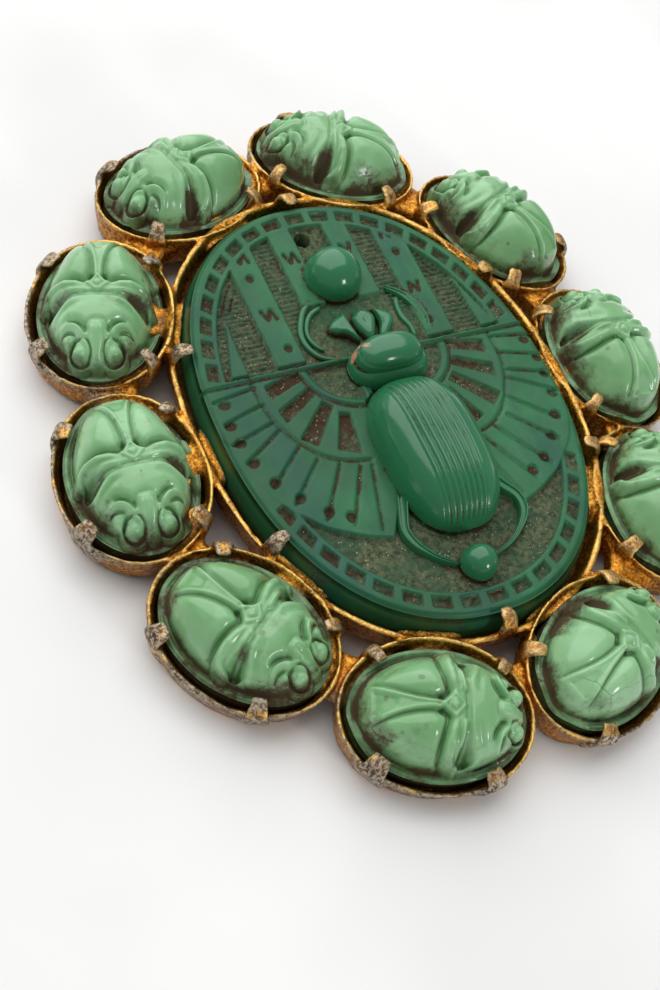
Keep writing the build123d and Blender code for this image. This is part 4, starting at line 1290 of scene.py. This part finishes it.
def gilt_metal(look, groups):
    """Antique gilding: grainy gold with a painted highlight on the ridges, brown painted shade on steep sides
    and in the pockets, tarnished in patches and hollows, worn to mottled grey outside.
    """
    net, shader, where = new_material("antique_gilding")
    grime_and_shade, _, pits = groups
    outer, pocket, finger, bend, lift = net.masks("outer", "pocket", "finger", "bend", "lift")
    grain = net.noise(where, 3900.0, 4.0, 0.70)
    broad = net.noise(where, 300.0, 4.0, 0.65)
    tone = net.mix(net.span(grain, 0.42, 0.60), colour(*look.gold_dark), colour(*look.gold_light))
    # painted highlight: brighter gold on the ridges
    tone = net.mix(net.span(bend, -0.12, -0.50, 0.0, 0.8), tone, colour(*look.gold_edge_highlight))
    # painted shade: browner on steep and downward faces; tarnished in brown patches and in hollows
    brown = net.plus(net.span(lift, 0.70, 0.05, 0.0, 0.45), net.span(broad, 0.45, 0.64, 0.0, 0.66))
    brown = net.plus(brown, net.span(bend, 0.05, 0.45, 0.0, 0.5))
    brown = net.math("MULTIPLY", brown, net.span(grain, 0.58, 0.40, 0.35, 1.2), clamp=True)
    tone = net.lay(tone, colour(*look.tarnish_and_shade), brown, 0.85)

    # worn grey on the outer walls, and on the prongs more towards the left
    worn = net.span(net.noise(where, 480.0, 5.0, 0.72), 0.33, 0.49)
    across = net.add("ShaderNodeSeparateXYZ", {"Vector": where}).outputs[0]
    rubbed = net.times(finger, net.span(across, 0.004, -0.016, 0.45, 0.95))
    silver = net.times(net.most(outer, rubbed), worn)
    mottled = net.span(net.noise(where, 3000.0, 4.0, 0.75), 0.42, 0.58)
    grey = net.mix(mottled, colour(70, 60, 50), colour(*look.bare_metal))
    tone = net.lay(tone, grey, silver, 0.92)

    # painted shade in the pockets and hollows, broken up by noise, and coarse and fine pits
    dark = net.place(grime_and_shade, {"Vector": where, "Hollow": net.most(pocket, bend), "Threshold": 0.80,
                             "Softness": 0.26, "Scale": 1500.0})
    tone = net.lay(tone, colour(46, 32, 18), dark, 0.72)
    pit = net.place(pits, {"Vector": where, "Scale": 1700.0, "Amount": 0.26})
    fine = net.place(pits, {"Vector": where, "Scale": 4200.0, "Amount": 0.50})
    tone = net.lay(tone, colour(44, 28, 14), net.most(pit, net.times(fine, 0.75)), 0.78)
    dull = net.plus(net.plus(dark, pit), net.times(silver, 0.4))
    rough = net.span(net.noise(where, 1200.0, 4.0, 0.6), 0.3, 0.7, 0.26, 0.46)
    rough = net.plus(rough, net.times(net.plus(brown, silver), 0.10))
    net.feed(shader, {"Base Color": tone, "Roughness": rough,
                      "Metallic": net.span(dull, 0.0, 1.0, 0.96, 0.45)})
    net.bump(shader, [(net.noise(where, 900.0, 5.0, 0.7), 0.7, 0.00014),
                      (grain, 0.9, 0.00009),
                      (net.most(pit, net.times(fine, 0.6)), -0.8, 0.00009)])


def pin_metal(look, groups):
    """Drawn brass and steel of the pin: fine lines along it, with pits and brown stains."""
    net, shader, where = new_material("pin_brass")
    _, _, pits = groups
    fine = net.add("ShaderNodeMapping", {"Vector": where, "Scale": (0.06, 1.0, 1.0)}).outputs[0]
    lines = net.noise(fine, 5200.0, 3.0, 0.6)
    tone = net.mix(net.span(lines, 0.3, 0.7), colour(142, 112, 66), colour(*look.brass))
    stain = net.span(net.noise(where, 300.0, 4.0, 0.65), 0.50, 0.66)
    tone = net.lay(tone, colour(84, 54, 28), stain, 0.75)
    pit = net.place(pits, {"Vector": where, "Scale": 900.0, "Amount": 0.2})
    tone = net.lay(tone, colour(40, 30, 20), pit, 0.7)
    net.feed(shader, {"Base Color": tone, "Metallic": 0.95,
                      "Roughness": net.span(stain, 0.0, 1.0, 0.28, 0.50)})
    net.bump(shader, [(lines, 0.25, 0.00003), (pit, -0.5, 0.00006)])


def floor_paper(look, groups):
    """Matt off-white paper with faint fibres."""
    net, shader, where = new_material("backdrop_paper")
    fibres = net.span(net.noise(where, 24.0, 3.0), 0.3, 0.7)
    tone = net.mix(fibres, colour(*look.floor), colour(250, 250, 249))
    net.feed(shader, {"Base Color": tone, "Roughness": 0.9, "Specular IOR Level": 0.1})
    net.bump(shader, [(net.noise(where, 900.0, 4.0), 0.05, 0.0001)])


# ---------------------------------------------------------------- the add-on

def tint(name, description, default):
    """Property for an sRGB colour, 0 to 255."""
    return bpy.props.IntVectorProperty(name=name, description=description, default=default, size=3,
                                       min=0, max=255)


class BroochSizes(bpy.types.PropertyGroup):
    """How finely the pieces are made, and the camera's lens."""
    stone_grid: bpy.props.IntProperty(
        name="Stone grid", description="Grid points along a small stone", default=158, min=40, max=220)
    plaque_grid: bpy.props.IntProperty(
        name="Plaque grid", description="Grid points across the plaque", default=262, min=80, max=280)
    frame_grain: bpy.props.FloatProperty(
        name="Frame grain", description="Cell of the grid that fuses the frame, in millimetres",
        default=0.16, min=0.12, max=0.6)
    frame_keep: bpy.props.FloatProperty(
        name="Frame share kept", description="Share of the fused faces that stay",
        default=0.25, min=0.05, max=1.0, subtype="FACTOR")
    camera_lens: bpy.props.FloatProperty(
        name="Lens", description="Focal length for the long side of the picture",
        default=61.83, unit="CAMERA")


class BroochLook(bpy.types.PropertyGroup):
    """The colours of the brooch and its floor."""
    stone_light: tint("Stone light", "Light jade of the small stones", (150, 200, 150))
    stone_dark: tint("Stone dark", "Deeper jade of the small stones", (116, 168, 113))
    # painted highlight on the raised lines
    stone_ridge_highlight: tint("Stone heights", "Jade on the raised lines", (158, 206, 157))
    # painted shade in the hollows
    stone_hollow_shade: tint("Stone hollows", "Jade in the hollows", (66, 112, 60))
    plaque_light: tint("Plaque light", "Green of the plaque", (44, 113, 70))
    plaque_dark: tint("Plaque dark", "Deep green of the plaque", (32, 90, 56))
    plaque_blue: tint("Plaque blue", "Blue marbling of the plaque", (22, 76, 70))
    plaque_dome: tint("Plaque domes", "Cleaner green of the raised pieces", (42, 119, 79))
    gold_light: tint("Gold light", "Gilding", (236, 172, 68))
    gold_dark: tint("Gold dark", "Darker gilding", (178, 106, 32))
    # painted highlight on the ridges
    gold_edge_highlight: tint("Gold edges", "Rubbed edges", (252, 208, 118))
    # brown for the tarnished hollows and for the painted shade on steep sides
    tarnish_and_shade: tint("Tarnish", "Brown of the hollows", (110, 60, 16))
    bare_metal: tint("Bare metal", "Grey metal where the gilding is gone", (186, 176, 160))
    brass: tint("Pin", "Brass of the pin", (196, 164, 106))
    floor: tint("Floor", "Paper under the brooch", (238, 238, 237))


def finish_materials(scene):
    """The materials, made once and looked up by name after that."""
    if "antique_gilding" not in bpy.data.materials:
        look = scene.brooch_look
        groups = (grime_and_shade_group(), crack_group(), pit_group())
        for make in (scarab_glass, plaque_glass, gilt_metal, pin_metal, floor_paper):
            make(look, groups)
    return bpy.data.materials


def settle(piece, material, node):
    """Gives a piece its material and its place in the model."""
    piece.data.materials.clear()
    piece.data.materials.append(material)
    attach(piece, "root")
    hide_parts(node)


class BROOCH_OT_frame(bpy.types.Operator):
    """Makes the gilt frame with its settings and prongs"""
    bl_idname = "brooch.frame"
    bl_label = "Gilt frame"

    def execute(self, context):
        sizes = context.scene.brooch_sizes
        materials = finish_materials(context.scene)
        piece = lay_frame(sizes.frame_grain, sizes.frame_keep)
        settle(piece, materials["antique_gilding"], "setting_frame")
        return {"FINISHED"}


class BROOCH_OT_plaque(bpy.types.Operator):
    """Makes the moulded glass plaque"""
    bl_idname = "brooch.plaque"
    bl_label = "Plaque"

    def execute(self, context):
        grid = context.scene.brooch_sizes.plaque_grid
        materials = finish_materials(context.scene)
        piece = lay_plaque(grid, int(grid * 1.30))
        settle(piece, materials["moulded_green_glass"], "centre_plaque")
        settle(lay_relief(), materials["moulded_green_glass"], "centre_plaque")
        return {"FINISHED"}


class BROOCH_OT_stones(bpy.types.Operator):
    """Makes the ten small glass beetles"""
    bl_idname = "brooch.stones"
    bl_label = "Small beetles"

    def execute(self, context):
        grid = context.scene.brooch_sizes.stone_grid
        materials = finish_materials(context.scene)
        for row in SETTINGS:
            piece = lay_stone(row, grid)
            settle(piece, materials["jade_glass"], "scarab_stone_%02d" % row[0])
        return {"FINISHED"}


class BROOCH_OT_pin(bpy.types.Operator):
    """Makes the pin across the back"""
    bl_idname = "brooch.pin"
    bl_label = "Pin"

    def execute(self, context):
        materials = finish_materials(context.scene)
        settle(lay_pin(), materials["pin_brass"], "pin")
        return {"FINISHED"}


FLOOR_HALF = 1500.0
ROOM_LIGHT = 0.32
# each light's name, direction from the brooch, then distance, width and height in metres, and brightness
LAMPS = [("overhead_softbox", (-0.10, 0.60, 0.79), 0.50, 0.92, 0.92, 1.72),
         ("low_window", (0.269, -0.909, 0.307), 0.60, 0.10, 0.15, 17.0)]
# the camera fitted to the picture: metres and degrees
CAMERA_PLACE = (-0.06269512, -0.06057091, 0.11030734)
CAMERA_TURN = (33.267585, -14.477371, -24.585010)


class BROOCH_OT_stage(bpy.types.Operator):
    """Lays the pale floor, the soft light and the camera"""
    bl_idname = "brooch.stage"
    bl_label = "Stage"

    def execute(self, context):
        scene = context.scene
        materials = finish_materials(scene)
        corners = [(x * FLOOR_HALF, y * FLOOR_HALF, -0.01) for x, y in ((-1, -1), (1, -1), (1, 1), (-1, 1))]
        floor = lay_mesh("floor", np.array(corners), np.array([[0, 1, 2, 3]]))
        floor.data.materials.append(materials["backdrop_paper"])
        world = bpy.data.worlds.new("soft_room")
        world.use_nodes = True
        background = world.node_tree.nodes["Background"]
        Net(world.node_tree).feed(background, {0: (1.0, 1.0, 1.0, 1.0), 1: ROOM_LIGHT})
        scene.world = world
        for name, toward, distance, width, height, strength in LAMPS:
            way = np.array(toward) / np.linalg.norm(toward)
            data = bpy.data.lights.new(name, "AREA")
            data.shape = "RECTANGLE"
            data.size = width
            data.size_y = height
            data.energy = strength * math.pi * width * height
            lamp = bpy.data.objects.new(name, data)
            bpy.context.collection.objects.link(lamp)
            lamp.location = way * distance
            lamp.rotation_euler = (math.acos(way[2]), 0.0, math.atan2(way[1], way[0]) + math.pi / 2)
        data = bpy.data.cameras.new("camera")
        data.lens = scene.brooch_sizes.camera_lens
        data.sensor_width = 36.0
        data.clip_start = 0.01
        data.clip_end = 20.0
        camera = bpy.data.objects.new("camera", data)
        bpy.context.collection.objects.link(camera)
        camera.location = CAMERA_PLACE
        camera.rotation_euler = [math.radians(angle) for angle in CAMERA_TURN]
        scene.camera = camera
        scene.view_settings.view_transform = "Standard"
        return {"FINISHED"}


class BROOCH_PT_panel(bpy.types.Panel):
    """Lists the pieces of the brooch"""
    bl_idname = "BROOCH_PT_panel"
    bl_label = "Scarab brooch"
    bl_space_type = "VIEW_3D"
    bl_region_type = "UI"
    bl_category = "Brooch"

    def draw(self, context):
        for group_ in (context.scene.brooch_sizes, context.scene.brooch_look):
            for name in group_.__annotations__:
                self.layout.prop(group_, name)
        for operator in OPERATORS:
            self.layout.operator(operator.bl_idname)


OPERATORS = (BROOCH_OT_stage, BROOCH_OT_frame, BROOCH_OT_plaque, BROOCH_OT_stones, BROOCH_OT_pin)


def register():
    """Adds the properties, the operators and the panel."""
    for cls in (BroochSizes, BroochLook, *OPERATORS, BROOCH_PT_panel):
        bpy.utils.register_class(cls)
    bpy.types.Scene.brooch_sizes = bpy.props.PointerProperty(type=BroochSizes)
    bpy.types.Scene.brooch_look = bpy.props.PointerProperty(type=BroochLook)


def unregister():
    """Takes them away again."""
    del bpy.types.Scene.brooch_look
    del bpy.types.Scene.brooch_sizes
    for cls in (BROOCH_PT_panel, *reversed(OPERATORS), BroochLook, BroochSizes):
        bpy.utils.unregister_class(cls)


def main():
    """Makes the whole brooch."""
    register()
    bpy.ops.brooch.stage()
    bpy.ops.brooch.frame()
    bpy.ops.brooch.plaque()
    bpy.ops.brooch.stones()
    bpy.ops.brooch.pin()


if __name__ == "__main__":
    main()
